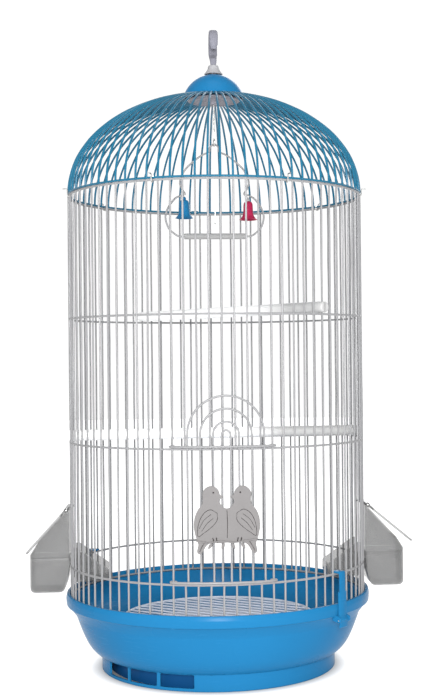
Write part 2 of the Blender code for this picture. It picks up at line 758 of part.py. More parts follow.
def make_floor_grille():
    """A ring crossed by parallel bars, made from a disc that is cut into strips."""
    disc = bmesh.new()
    bmesh.ops.create_circle(disc, cap_ends=True, radius=GRILLE_RADIUS, segments=GRILLE_SEGMENTS)
    bmesh.ops.translate(disc, vec=(0.0, 0.0, GRILLE_HEIGHT), verts=disc.verts)
    count = int(GRILLE_RADIUS / GRILLE_BAR_PITCH)
    across = Vector((sin(GRILLE_BAR_TURN), cos(GRILLE_BAR_TURN), 0.0))
    for i in range(-count, count + 1):
        geometry = disc.verts[:] + disc.edges[:] + disc.faces[:]
        bmesh.ops.bisect_plane(disc, geom=geometry, plane_co=across * i * GRILLE_BAR_PITCH, plane_no=across,
                               dist=0.000001)
    mesh = bpy.data.meshes.new("floor_grille")
    disc.to_mesh(mesh)
    disc.free()
    grille = add_object("floor_grille", mesh, WHITE_PAINT)
    bars = grille.modifiers.new("bars", "WIREFRAME")
    bars.thickness = GRILLE_BAR_DIAMETER
    bars.use_boundary = True
    bars.use_even_offset = True
    bars.use_relative_offset = False
    half_segment = pi / GRILLE_SEGMENTS
    chord_radius = GRILLE_RADIUS * cos(half_segment)
    for i in range(GRILLE_LEGS):
        turn = 2 * pi * (i + 0.5) / GRILLE_LEGS - half_segment
        spot = Vector((chord_radius * cos(turn), chord_radius * sin(turn), 0.0))
        leg = rod("grille_leg_%d" % (i + 1), spot + Vector((0.0, 0.0, FLOOR_HEIGHT + FIT_GAP)),
                  spot + Vector((0.0, 0.0, GRILLE_HEIGHT + WIRE_OVERLAP)), GRILLE_LEG_DIAMETER, 8)
        join(grille, leg)
    return grille


def make_floor_liner():
    bottom = FLOOR_HEIGHT + FIT_GAP
    top = bottom + LINER_THICKNESS
    profile = [(0.0, top), (LINER_RADIUS, top), (LINER_RADIUS, bottom), (0.0, bottom)]
    return lathe("floor_liner", profile, CROWN_STEPS, PAPER)


# Clips

def clip_legs(drop):
    """Both sides of a clip in the radial plane, the inner one downwards and the outer one upwards."""
    side = WIRE_RADIUS + CLIP_WIRE_DIAMETER / 2 + FIT_GAP
    top = DOME_RING_HEIGHT + WIRE_RADIUS + CLIP_STICK_OUT
    low = TOP_HOOP_HEIGHT - drop
    inner = [(WALL_RADIUS - side, top), (WALL_RADIUS - side, low)]
    outer = [(WALL_RADIUS + side, low), (WALL_RADIUS + side, top)]
    return inner + arc((WALL_RADIUS, low), side, -150, -30, 3) + outer


def clip_path():
    """A clip that bends under the hoop and ends in a stub above the ring."""
    points = clip_legs(0.0)
    radius, height = points[-1]
    lift = height + CLIP_WIRE_DIAMETER
    return points + [(radius + CLIP_WIRE_DIAMETER, lift), (radius + CLIP_TAIL, lift)]


def make_clip(number, pitch, path):
    turn = pitch * PITCH_ANGLE
    points = [wall_point(turn, height, radius) for radius, height in path]
    tube("dome_clip_%d" % number, points, CLIP_WIRE_DIAMETER, STEEL)


def make_ring_crimp():
    """The sleeve that closes the dome's ring, open below where the ring lies on the hoop."""
    middle = CRIMP_PITCH * PITCH_ANGLE
    half = CRIMP_LENGTH / 2 / WALL_RADIUS
    side = WIRE_RADIUS + FIT_GAP
    wall = CRIMP_WALL
    low = DOME_RING_HEIGHT - WIRE_RADIUS / 2
    top = DOME_RING_HEIGHT + WIRE_RADIUS + FIT_GAP
    outline = [(WALL_RADIUS - side - wall, low), (WALL_RADIUS - side, low), (WALL_RADIUS - side, top),
               (WALL_RADIUS + side, top), (WALL_RADIUS + side, low), (WALL_RADIUS + side + wall, low),
               (WALL_RADIUS + side + wall, top + wall * 0.5), (WALL_RADIUS + side, top + wall),
               (WALL_RADIUS - side, top + wall), (WALL_RADIUS - side - wall, top + wall * 0.5)]
    shape = bmesh.new()
    turns = (middle - half, middle, middle + half)
    sections = [[shape.verts.new(wall_point(turn, z, r)) for r, z in outline] for turn in turns]
    for first, second in zip(sections, sections[1:]):
        for i in range(len(outline)):
            j = (i + 1) % len(outline)
            shape.faces.new((first[i], first[j], second[j], second[i]))
    shape.faces.new(sections[0])
    shape.faces.new(sections[-1])
    bmesh.ops.recalc_face_normals(shape, faces=shape.faces)
    mesh = bpy.data.meshes.new("ring_crimp")
    shape.to_mesh(mesh)
    shape.free()
    return add_object("ring_crimp", mesh, BLUE_PAINT)


# Door

def door_radius():
    """Distance from the axis to the door's wires, which slide outside the hoops."""
    return WALL_RADIUS + WIRE_RADIUS + SLIDE_GAP + DOOR_WIRE_DIAMETER / 2


def rod_radius():
    return door_radius() + (DOOR_WIRE_DIAMETER + DOOR_ROD_DIAMETER) / 2 - DOOR_WELD


def door_rod_heights():
    offset = WIRE_RADIUS + SLIDE_GAP + DOOR_ROD_DIAMETER / 2
    return LATCH_HOOP_HEIGHT + offset, DOOR_HOOP_HEIGHT + offset


def door_arch(pitches, low, spring):
    """One inverted U of the door, laid on the cylinder that the door follows."""
    radius = door_radius()
    half = pitches * PITCH_ANGLE
    rise = half * radius
    steps = 10 if pitches > 0.5 else 6
    points = [wall_point(-half, low, radius)]
    for i in range(steps + 1):
        turn = pi - pi * i / steps
        points.append(wall_point(half * cos(turn), spring + rise * sin(turn), radius))
    points.append(wall_point(half, low, radius))
    return points


def door_rod(height):
    """A cross rod whose ends curl round the guide wires."""
    guide = DOOR_HALF_PITCHES * PITCH_ANGLE
    curl = WIRE_RADIUS + SLIDE_GAP + DOOR_ROD_DIAMETER / 2
    outer = rod_radius()
    half = []
    for i in range(5):
        half.append(wall_point(guide * 0.86 * i / 4, height, outer))
    centre = wall_point(guide, height)
    outward = wall_point(guide, 0.0, 1.0)
    sideways = Vector((-outward.y, outward.x, 0.0))
    for angle in (55, 10, -35, -80, -125, -170, -215):
        turn = radians(angle)
        half.append(centre + curl * (outward * sin(turn) + sideways * cos(turn)))
    mirrored = [Vector((-p.x, p.y, p.z)) for p in reversed(half[1:])]
    return mirrored + half


def make_door():
    low, high = door_rod_heights()
    foot = low - DOOR_ROD_DIAMETER / 2
    door = None
    for pitches in DOOR_LEG_PITCHES:
        path = door_arch(pitches, foot, high + DOOR_LEG_TOP)
        arch = as_mesh(tube("door_arch_%d" % round(pitches * 10), path, DOOR_WIRE_DIAMETER, None))
        if door is None:
            door = arch
            door.name = "door"
            door.data.name = "door"
            door.data.materials.append(make_material("door", *WHITE_PAINT))
        else:
            join(door, arch)
    for name, height in (("door_bottom_rod", low), ("door_top_rod", high)):
        join(door, as_mesh(tube(name, door_rod(height), DOOR_ROD_DIAMETER, None)))
    return door


def plate_outline():
    """A shield with a scalloped foot, as wide as the ornament that hangs on the door."""
    half = PLATE_WIDTH / 2
    bottom = LATCH_HOOP_HEIGHT + PLATE_BOTTOM_ABOVE_HOOP
    top = bottom + PLATE_HEIGHT
    middle = bottom + PLATE_HEIGHT * 0.45
    right = [(0.0, top - 0.006), (half * 0.25, top), (half * 0.55, top - 0.002), (half * 0.72, top - 0.010),
             (half * 0.90, middle + 0.010), (half, middle), (half * 0.93, middle - 0.012),
             (half * 0.70, bottom + 0.006), (half * 0.40, bottom + 0.003), (half * 0.2, bottom)]
    left = [(-x, z) for x, z in reversed(right[1:])]
    return right + left


def make_door_plate():
    back = door_radius() + DOOR_WIRE_DIAMETER / 2 + FIT_GAP
    plate = flat_outline("door_plate", plate_outline(), PLATE_THICKNESS, WHITE_PLASTIC)
    plate.rotation_euler = (pi / 2, 0.0, 0.0)
    plate.location = (0.0, -back - PLATE_THICKNESS / 2, 0.0)
    return plate


# Perches

def make_perch(name, hoop_height, pitches):
    """A rod whose slotted ends straddle a wall wire each and rest on the hoop."""
    height = hoop_height + WIRE_RADIUS + FIT_GAP + PERCH_DIAMETER / 2
    first = wall_point(pitches[0] * PITCH_ANGLE, height)
    second = wall_point(pitches[1] * PITCH_ANGLE, height)
    along = (second - first).normalized()
    start = first - along * PERCH_OVERHANG
    end = second + along * PERCH_OVERHANG
    perch = rod(name, start, end, PERCH_DIAMETER, 16, WHITE_PLASTIC)
    turn = atan2(along.y, along.x)
    for label, tip, inward in (("near", start, along), ("far", end, -along)):
        middle = tip + inward * (PERCH_SLOT_DEPTH / 2 - 0.001)
        slot = box("%s_slot_%s" % (name, label),
                   (-PERCH_SLOT_DEPTH / 2 - 0.001, -PERCH_SLOT_WIDTH / 2, -PERCH_DIAMETER),
                   (PERCH_SLOT_DEPTH / 2 + 0.001, PERCH_SLOT_WIDTH / 2, PERCH_DIAMETER))
        slot.location = middle
        slot.rotation_euler = (0.0, 0.0, turn)
        cut(perch, slot)
    return perch


# Swing

def swing_eye_height():
    return hub_boss_bottom() - FIT_GAP - SWING_DROP + SWING_EYE_RADIUS


def make_swing_hook():
    top = hub_boss_bottom() - FIT_GAP
    centre = swing_eye_height()
    points = [Vector((0.0, 0.0, top)), Vector((0.0, 0.0, centre + SWING_EYE_RADIUS + 0.0030))]
    points += [Vector((0.0, y, z)) for y, z in arc((0.0, centre), SWING_EYE_RADIUS, 80, -215, 12)]
    return tube("swing_hook", points, SWING_WIRE_DIAMETER, STEEL, resolution=1)


def swing_apex():
    """Height of the wire's centre where the frame hangs in the eye."""
    return swing_eye_height() - SWING_EYE_RADIUS + SWING_WIRE_DIAMETER + FIT_GAP


def swing_perch_height():
    return swing_apex() - SWING_PERCH_DROP


def swing_shoulder():
    """The right half of the frame as x and z, from the apex in the eye down to the neck."""
    top = swing_apex()
    low = swing_perch_height()
    width = SWING_HALF_WIDTH
    rise = SWING_PERCH_DROP
    tip = [(0.0, top), (0.0045, top - 0.0035), (0.0060, top - 0.0090)]
    return tip + [(width * x, low + rise * z) for x, z in SWING_SHOULDER]


def swing_side_loop():
    """The loop beside a bell, from the neck out and down to the perch's end."""
    low = swing_perch_height()
    width = SWING_HALF_WIDTH
    rise = SWING_PERCH_DROP
    loop = [(width * x, low + rise * z) for x, z in SWING_SIDE_LOOP]
    end = SWING_PERCH_HALF_LENGTH + FIT_GAP
    return loop + [(end + 2 * SWING_WIRE_DIAMETER, low), (end, low)]


def make_swing_frame():
    half = [(x, 0.0, z) for x, z in swing_shoulder() + swing_side_loop()]
    left = [(-x, y, z) for x, y, z in reversed(half[1:])]
    frame = tube("swing_frame", left + half, SWING_WIRE_DIAMETER, STEEL)
    put_origin(frame, (0.0, 0.0, swing_apex()))


def make_swing_perch():
    height = swing_perch_height()
    half = SWING_PERCH_HALF_LENGTH
    perch = rod("swing_perch", (-half, 0.0, height), (half, 0.0, height), SWING_PERCH_DIAMETER, TINY_STEPS,
                WHITE_PLASTIC)
    put_origin(perch, (0.0, 0.0, swing_apex()))


def swing_wire_height(x):
    """Height of the frame's wire over the bell's place, next to the neck."""
    points = swing_side_loop()
    heights = [z0 + (z1 - z0) * (x - x0) / (x1 - x0) for (x0, z0), (x1, z1) in zip(points, points[1:])
               if x0 <= x <= x1]
    return heights[0]


def bell_ring_slack():
    """How far a bell's ring hangs below the wire that carries it, centre to centre."""
    return BELL_RING_RADIUS - BELL_RING_WIRE / 2 - SWING_WIRE_DIAMETER / 2 - FIT_GAP


def bell_profile(top):
    """The bell's section from its crown at a height, out to the lip and back inside."""
    outer = [(BELL_RADIUS * r, top - BELL_HEIGHT * drop) for r, drop in BELL_SHAPE]
    inner = [(radius - BELL_WALL, height - BELL_WALL * 0.4) for radius, height in reversed(outer[2:-1])]
    inner.insert(0, (BELL_RADIUS - BELL_WALL, top - BELL_HEIGHT))
    return outer + inner + [(0.0, top - BELL_CROWN)]


def make_bell(colour, side, finish):
    """A bell that hangs by a ring on the swing's wire, with a bead between the two."""
    name = "bell_" + colour
    wire = Vector((side * BELL_X, 0.0, swing_wire_height(BELL_X)))
    bead = -bell_ring_slack() - BELL_RING_RADIUS - BELL_BEAD_RADIUS + BELL_OVERLAP
    crown = bead - BELL_BEAD_RADIUS + BELL_OVERLAP
    bell = lathe(name, bell_profile(crown), TINY_STEPS, finish)
    bell.location = wire
    knob = ball(name + "_bead", BELL_BEAD_RADIUS)
    knob.location = wire + Vector((0.0, 0.0, bead))
    join(bell, knob)
    circle = [(0.0, y, z) for y, z in arc((0.0, 0.0), BELL_RING_RADIUS, 0, 330, 11)]
    loop = as_mesh(tube(name + "_loop", circle, BELL_RING_WIRE, None, cyclic=True))
    loop.location = wire - Vector((0.0, 0.0, bell_ring_slack()))
    join(bell, loop)
    make_clapper("clapper_" + colour, wire.x, wire.z + crown - BELL_CROWN - FIT_GAP)


def ball(name, radius):
    sphere = bmesh.new()
    bmesh.ops.create_uvsphere(sphere, u_segments=10, v_segments=6, radius=radius)
    mesh = bpy.data.meshes.new(name)
    sphere.to_mesh(mesh)
    sphere.free()
    return add_object(name, mesh, None)


def make_clapper(name, x, top):
    """A ball on a short stem under the bell's crown, with its origin at the stem's top."""
    middle = -CLAPPER_STEM
    profile = [(0.0, 0.0), (CLAPPER_STEM_RADIUS, 0.0), (CLAPPER_STEM_RADIUS, middle + CLAPPER_RADIUS * 0.95)]
    profile += arc((0.0, middle), CLAPPER_RADIUS, 55, -55, 3)
    profile += [(0.0, middle - CLAPPER_RADIUS)]
    clapper = lathe(name, profile, TINY_STEPS, STEEL)
    clapper.location = (x, 0.0, top)


# Feeders, drawn for the +X side

def feeder_back():
    """Distance from the axis to the back of everything that hangs outside the wires."""
    return WALL_RADIUS + WIRE_RADIUS + FIT_GAP


def saddle_height():
    return LATCH_HOOP_HEIGHT + WIRE_RADIUS + FIT_GAP


def cup_rim_height():
    return saddle_height() + 0.0046


def trough_front():
    """Where the trough's wall clears the wires that stand at the feeder's edges."""
    half = FEEDER_WIDTH / 2
    return sqrt((WALL_RADIUS - WIRE_RADIUS - FIT_GAP) ** 2 - half ** 2)


def cup_outline():
    back = feeder_back()
    front = back + FEEDER_CUP_DEPTH
    rim = cup_rim_height()
    saddle = saddle_height()
    floor = rim - FEEDER_CUP_HEIGHT
    inner = trough_front()
    low = saddle + FEEDER_WALL - TROUGH_DEPTH
    return [(back, rim), (back, saddle + FEEDER_WALL), (inner - TROUGH_REACH, saddle + FEEDER_WALL),
            (inner - TROUGH_REACH, saddle - 0.004), (inner - TROUGH_REACH * 0.78, low), (inner - 0.0060, low),
            (inner - 0.0010, low + 0.0050), (inner, saddle), (back, saddle), (back + 0.0012, floor + 0.0160),
            (back + 0.0060, floor + 0.0020), (back + 0.0100, floor), (front - FEEDER_CUP_CORNER, floor),
            (front - 0.0015, floor + 0.0018), (front, floor + FEEDER_CUP_CORNER), (front, rim)]


def cup_cavity():
    back = feeder_back() + FEEDER_WALL
    front = feeder_back() + FEEDER_CUP_DEPTH - FEEDER_WALL
    rim = cup_rim_height() + 0.002
    floor = cup_rim_height() - FEEDER_CUP_HEIGHT + FEEDER_WALL
    return [(back, rim), (back + 0.0006, floor + 0.0160), (back + 0.0056, floor + 0.0016),
            (back + 0.0090, floor), (front - FEEDER_CUP_CORNER, floor), (front, floor + FEEDER_CUP_CORNER),
            (front, rim)]


def trough_cavity():
    inner = trough_front() - FEEDER_WALL
    far = trough_front() - TROUGH_REACH + FEEDER_WALL
    saddle = saddle_height()
    low = saddle - TROUGH_DEPTH + 2 * FEEDER_WALL
    return [(far, saddle + 0.004), (far, saddle - 0.0036), (far + TROUGH_REACH * 0.22 - 0.001, low),
            (inner - 0.0054, low), (inner - 0.0010, low + 0.0044), (inner, saddle + 0.004)]


def extruded(name, outline, width, finish=None):
    plate = flat_outline(name, outline, width, None)
    upright(plate)
    return as_mesh(plate, finish)


def make_feeder_cup(side, turn):
    name = "feeder_cup_" + side
    inner_width = FEEDER_WIDTH - 2 * FEEDER_WALL
    cup = extruded(name, cup_outline(), FEEDER_WIDTH, CLEAR_PLASTIC)
    cut(cup, extruded(name + "_cup_space", cup_cavity(), inner_width))
    cut(cup, extruded(name + "_trough_space", trough_cavity(), inner_width))
    turn_to_side(cup, turn)


def hood_base():
    return cup_rim_height() + FIT_GAP


def hood_top():
    return FEEDER_RAIL_HEIGHT - WIRE_RADIUS


def hinge_point():
    return feeder_back() + HINGE_BARREL_RADIUS + 0.0004, hood_top() + 0.0004


def hood_outline():
    """Side view of the hood: a back edge on the wires, a slope, and an ear round the hinge."""
    back = feeder_back()
    front = back + FEEDER_CUP_DEPTH
    shoulder = hood_base() + HOOD_SHOULDER_RISE
    ear = arc(hinge_point(), HINGE_BARREL_RADIUS, -20, 160, 6)
    return [(back, hood_base()), (front, hood_base()), (front, shoulder), slope_top(), *ear,
            (back, hinge_point()[1] - HINGE_BARREL_RADIUS)]


def slope_top():
    """The upper end of the hood's slope, under the hinge."""
    return feeder_back() + HOOD_TOP_BACKSET, hood_top() - HINGE_BARREL_RADIUS


def hood_space():
    """The hollow of the hood, open to the cage at the back and to the lid above."""
    back = feeder_back() - 0.01
    front = feeder_back() + FEEDER_CUP_DEPTH - FEEDER_WALL
    low = hood_base() - 0.01
    high = hinge_point()[1] + 0.01
    return [(back, low), (front, low), (front, high), (back, high)]


def make_feeder_hood(side, turn):
    name = "feeder_hood_" + side
    hood = extruded(name, hood_outline(), FEEDER_WIDTH, CLEAR_PLASTIC)
    cut(hood, extruded(name + "_space", hood_space(), FEEDER_WIDTH - 2 * FEEDER_WALL))
    centre = hinge_point()
    bore = rod(name + "_bore", (centre[0], -FEEDER_WIDTH, centre[1]), (centre[0], FEEDER_WIDTH, centre[1]),
               2 * (HINGE_PIN_RADIUS + SLIDE_GAP), 8)
    cut(hood, bore)
    turn_to_side(hood, turn)


def lid_slope():
    shoulder = Vector((feeder_back() + FEEDER_CUP_DEPTH, hood_base() + HOOD_SHOULDER_RISE))
    return (shoulder - Vector(slope_top())).normalized(), shoulder


def make_feeder_lid(side, turn):
    """A flap on the hood's slope, carried by a barrel between the hood's ears."""
    name = "feeder_lid_" + side
    slope, shoulder = lid_slope()
    normal = Vector((-slope.y, slope.x))
    near = Vector(slope_top()) + normal * FIT_GAP + slope * LID_START
    far = shoulder + normal * FIT_GAP + slope * LID_OVERHANG
    corners = [near, far, far + normal * LID_THICKNESS, near + normal * LID_THICKNESS]
    flap = extruded(name, [tuple(c) for c in corners], FEEDER_WIDTH + 2 * LID_SIDE_OVERHANG, CLEAR_PLASTIC)
    centre = Vector(hinge_point())
    half_barrel = FEEDER_WIDTH / 2 - FEEDER_WALL - FIT_GAP
    hole = arc(centre, HINGE_PIN_RADIUS + SLIDE_GAP, 0, 315, 7)
    barrel = flat_outline(name + "_barrel", arc(centre, HINGE_BARREL_RADIUS, 0, 315, 7), 2 * half_barrel, None,
                          holes=[hole])
    upright(barrel)
    join(flap, as_mesh(barrel))
    root = near + slope * LID_THICKNESS
    web = [root, root + normal * LID_THICKNESS, centre + normal * HINGE_BARREL_RADIUS * 0.7,
           centre + slope * HINGE_BARREL_RADIUS * 0.7]
    join(flap, extruded(name + "_web", [tuple(p) for p in web], 2 * half_barrel - FIT_GAP))
    put_origin(flap, (centre.x, 0.0, centre.y))
    turn_to_side(flap, turn)
    half = FEEDER_WIDTH / 2
    pin = rod("feeder_pin_" + side, (centre[0], -half, centre[1]), (centre[0], half, centre[1]),
              2 * HINGE_PIN_RADIUS, 8, STEEL)
    turn_to_side(pin, turn)


def turn_to_side(solid, turn):
    """Turns a feeder's piece, and what shapes it, from +X to its side of the cage."""
    for modifier in solid.modifiers:
        if modifier.type == "BOOLEAN":
            modifier.object.matrix_world = Matrix.Rotation(turn, 4, "Z") @ modifier.object.matrix_world
    solid.location = Matrix.Rotation(turn, 3, "Z") @ solid.location
    solid.rotation_euler = (0.0, 0.0, turn)


def build():
    make_tray()
    make_floor_liner()
    make_floor_grille()
    make_cage_wall()
    make_dome_frame()
    make_ring_crimp()
    make_cap()
    make_hub_disc()
    make_hook_collar()
    make_hanging_hook()
    for number, pitch in enumerate(CLIP_PITCHES, 1):
        make_clip(number, pitch, clip_path())
    make_clip(len(CLIP_PITCHES) + 1, BACK_CLIP_PITCH, clip_legs(BACK_CLIP_DROP))
    for side, azimuth in LATCH_AZIMUTHS.items():
        make_latch(side, azimuth)
    make_door()
    make_door_plate()
    make_perch("upper_perch", PERCH_HOOP_HEIGHT, UPPER_PERCH_PITCHES)
    make_perch("lower_perch", DOOR_HOOP_HEIGHT, LOWER_PERCH_PITCHES)
    make_swing_hook()
    make_swing_frame()
    make_swing_perch()
    make_bell("blue", -1, BLUE_PLASTIC)
    make_bell("pink", 1, PINK_PLASTIC)
    for side, turn in (("right", 0.0), ("left", pi)):
        make_feeder_cup(side, turn)
        make_feeder_hood(side, turn)
        make_feeder_lid(side, turn)


build()
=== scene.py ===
# %% [markdown]
# # A round wire bird cage
#
# This lesson dresses a CAD model of a bird cage. The CAD model has the right sizes and joints, but
# plain surfaces. Here each piece gets the shape and the finish that the real cage has: drawn wire
# with welded crossings, glossy moulded plastic, see-through feeders and small painted bells.
# The CAD frame is loaded first, because every piece takes its place from it.

# %% Load the CAD frame
from math import atan2, cos, pi, radians, sin, sqrt

import bmesh
import bpy
from mathutils import Matrix, Vector


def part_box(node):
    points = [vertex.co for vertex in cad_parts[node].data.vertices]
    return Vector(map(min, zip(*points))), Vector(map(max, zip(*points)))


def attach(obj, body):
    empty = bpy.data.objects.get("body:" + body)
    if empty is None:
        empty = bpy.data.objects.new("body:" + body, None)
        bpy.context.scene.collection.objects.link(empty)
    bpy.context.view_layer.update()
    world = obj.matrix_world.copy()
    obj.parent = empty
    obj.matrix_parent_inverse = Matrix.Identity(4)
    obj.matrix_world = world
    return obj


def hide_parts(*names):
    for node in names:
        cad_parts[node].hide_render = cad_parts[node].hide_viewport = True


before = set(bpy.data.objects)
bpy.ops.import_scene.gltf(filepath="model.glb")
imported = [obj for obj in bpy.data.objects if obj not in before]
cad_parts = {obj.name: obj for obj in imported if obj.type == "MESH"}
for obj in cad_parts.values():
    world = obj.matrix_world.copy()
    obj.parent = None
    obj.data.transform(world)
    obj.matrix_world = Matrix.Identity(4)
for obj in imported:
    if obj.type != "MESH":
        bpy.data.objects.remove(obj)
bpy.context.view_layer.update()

# %% [markdown]
# ## The camera and the light
#
# The photograph was taken with a short tele lens at half the cage's height, a little left of the
# door. It is a crop of a wider picture, so its middle isn't the lens's middle: the shift says by how
# much. A studio sweep is plain white, so behind the cage the world is white. In front of it the room
# is dimmer, which gives white wires their grey sides and keeps glossy plastic from looking milky.
# A small flash beside the camera lights the fronts, and three large soft lamps fill the shade.

# %% Camera
CAMERA_PLACE = (-0.0529, -1.4478, 0.3429)
CAMERA_YAW = -0.0774
CAMERA_TILT = 0.0073
CAMERA_ROLL = -0.0098
CAMERA_LENS = 65.78
CAMERA_SHIFT = -0.0762


def add_object(name, data):
    """Puts a new object in the scene."""
    made = bpy.data.objects.new(name, data)
    bpy.context.scene.collection.objects.link(made)
    return made


def spin(angle, axis="Z"):
    return Matrix.Rotation(angle, 4, axis)


def shift(x=0.0, y=0.0, z=0.0):
    return Matrix.Translation((x, y, z))


camera = add_object("photo_camera", bpy.data.cameras.new("photo_camera"))
camera.data.lens = CAMERA_LENS
camera.data.shift_x = CAMERA_SHIFT
camera_turn = spin(CAMERA_YAW) @ spin(pi / 2 + CAMERA_TILT, "X")
camera.matrix_world = shift(*CAMERA_PLACE) @ camera_turn @ spin(CAMERA_ROLL)
bpy.context.scene.camera = camera
print("camera at", CAMERA_PLACE)

# %% Lamps and the white world
LAMPS = {
    "flash_lamp": ((-0.05, -1.75, 0.50), 0.40, 46.0),
    "fill_lamp": ((-1.3, -1.5, 1.1), 1.2, 2.0),
    "top_lamp": ((0.0, -0.5, 2.2), 1.2, 10.0),
    "back_lamp": ((0.5, 1.8, 1.1), 1.5, 14.0),
}
LAMP_AIM = Vector((0.0, 0.0, 0.35))
WORLD_LIGHT = 1.05
ROOM_LIGHT = 0.50
ROOM_EDGE = (0.45, 0.90)


def add_lamp(name, place, size, power):
    lamp = add_object(name, bpy.data.lights.new(name, "AREA"))
    lamp.data.shape = "DISK"
    lamp.data.size = size
    lamp.data.energy = power
    lamp.location = place
    lamp.rotation_euler = (LAMP_AIM - Vector(place)).to_track_quat("-Z", "Y").to_euler()


for name, settings in LAMPS.items():
    add_lamp(name, *settings)


def set_world(nodes, link):
    """White behind the cage, and a dimmer room on the camera's side."""
    towards = nodes.new("ShaderNodeTexCoord")
    split = nodes.new("ShaderNodeSeparateXYZ")
    grade = nodes.new("ShaderNodeMapRange")
    for socket, value in zip(("From Min", "From Max", "To Min", "To Max"), (*ROOM_EDGE, ROOM_LIGHT, 1.0)):
        grade.inputs[socket].default_value = value
    link(towards.outputs["Generated"], split.inputs[0])
    link(split.outputs["Y"], grade.inputs["Value"])
    link(grade.outputs[0], nodes["Background"].inputs["Color"])
    nodes["Background"].inputs["Strength"].default_value = WORLD_LIGHT


world = bpy.data.worlds.new("white_sweep")
world.use_nodes = True
set_world(world.node_tree.nodes, world.node_tree.links.new)
bpy.context.scene.world = world
bpy.context.scene.view_settings.view_transform = "Standard"
print(len(LAMPS), "lamps")

# %% [markdown]
# ## Shader maths as plain expressions
#
# A finish is a small network of nodes. Clicked together by hand it is hard to read, so here one
# class wraps a node's output and lets Python's own operators add the Math nodes. `0.4 + clouds * 0.2`
# then reads as it does on paper. The Geometry Nodes further down are written in the same way.

# %% A link that can be used in sums, and a writer of nodes
class Signal:
    """The output of a node, for use in expressions."""

    def __init__(self, writer, socket):
        self.writer = writer
        self.socket = socket

    def maths(self, operation, first, second):
        return self.writer.node("ShaderNodeMath", {0: first, 1: second}, operation=operation)

    def __add__(self, other):
        return self.maths("ADD", self, other)

    def __sub__(self, other):
        return self.maths("SUBTRACT", self, other)

    def __mul__(self, other):
        return self.maths("MULTIPLY", self, other)

    __radd__ = __add__


class NodeWriter:
    """A node tree whose nodes mostly belong to one family."""

    def __init__(self, tree, family):
        self.tree = tree
        self.family = family

    def node(self, kind, inputs=None, output=0, **settings):
        """Adds a node, sets it up, then gives its sockets their values or links."""
        made = self.tree.nodes.new(kind if "Node" in kind else self.family + kind)
        for name, value in settings.items():
            setattr(made, name, value)
        for socket, value in (inputs or {}).items():
            self.plug(made.inputs[socket], value)
        return Signal(self, made.outputs[output])

    def plug(self, socket, value):
        if isinstance(value, Signal):
            self.tree.links.new(value.socket, socket)
        else:
            socket.default_value = value


print("node writer ready")


# %% A finish: one material and its node maker
class Finish(NodeWriter):
    """A material whose surface is described by expressions."""

    def __init__(self, name, **fixed):
        self.material = bpy.data.materials.new(name)
        self.material.use_nodes = True
        super().__init__(self.material.node_tree, "ShaderNode")
        self.set(**fixed)

    def set(self, **sockets):
        surface = self.tree.nodes["Principled BSDF"]
        for socket, value in sockets.items():
            self.plug(surface.inputs[socket.replace("_", " ")], value)

    def place(self):
        """Where a point is on the object, in metres."""
        return self.node("TexCoord", output="Object")

    def along(self, side):
        """How far a point is along X, Y or Z, in metres."""
        return self.node("SeparateXYZ", {"Vector": self.place()}, side)

    def noise(self, scale, detail=2.0, stretch=(1.0, 1.0, 1.0)):
        """A cloudy grey from 0 to 1, with so many clouds to the metre."""
        spot = self.node("Mapping", {"Vector": self.place(), "Scale": stretch})
        return self.node("TexNoise", {"Vector": spot, "Scale": scale, "Detail": detail})

    def sharpen(self, amount, low, high):
        """Stretches an amount so that low gives 0 and high gives 1."""
        return self.node("MapRange", {"Value": amount, "From Min": low, "From Max": high})

    def blend(self, amount, first, second):
        """Mixes two colours by an amount from 0 to 1."""
        return self.node("Mix", {0: amount, 6: first, 7: second}, 2, data_type="RGBA")

    def mottled(self, amount, colour, dark, pale):
        """One colour that wanders between a darker and a paler share of itself."""
        return self.blend(amount, tint(colour, dark), tint(colour, pale))

    def bumps(self, height, distance, strength):
        """A surface that rises by the distance where the height is 1."""
        return self.node("Bump", {"Height": height, "Distance": distance, "Strength": strength})


def tint(colour, amount):
    """The same colour made lighter or darker."""
    return tuple(min(1.0, part * amount) for part in colour) + (1.0,)


def grey(level):
    return (level, level, level, 1.0)


print("finish maker ready")

# %% [markdown]
# ## The finishes
#
# The wires are painted steel: the paint pools a little, so the gloss wanders and the surface has a
# faint skin. The dome's paint is blue. Moulded plastic shows soft flow clouds, and fine scuffs that
# are a little paler and duller. The feeders are see-through: they let about half of the background
# show and get denser where they are seen edge on.

# %% Painted wire
def painted_wire(name, colour, roughness):
    paint = Finish(name, IOR=1.45, Specular_IOR_Level=0.35)
    clouds = paint.noise(55.0)
    skin = paint.noise(900.0, 3.0)
    worn = paint.sharpen(paint.noise(140.0, 4.0), 0.62, 0.78)
    colours = paint.mottled(clouds, colour, 0.90, 1.06)
    colours = paint.blend(worn * 0.35, colours, tint(colour, 0.72))
    paint.set(Base_Color=colours, Roughness=roughness + (clouds - 0.5) * 0.16 + worn * 0.12)
    paint.set(Normal=paint.bumps(skin, 0.00004, 0.6))
    return paint.material


WHITE_PAINT = painted_wire("white_painted_wire", (0.21, 0.21, 0.216), 0.38)
# The grille's white paint is drawn paler and bluer than the wall's: painted light bounced from the blue
# tray.
GRILLE_PAINT_BLUE_BOUNCE = painted_wire("white_grille_paint", (0.432, 0.468, 0.54), 0.36)
DOME_PAINT = painted_wire("blue_painted_wire", (0.0054, 0.096, 0.1692), 0.34)
print("three paints")


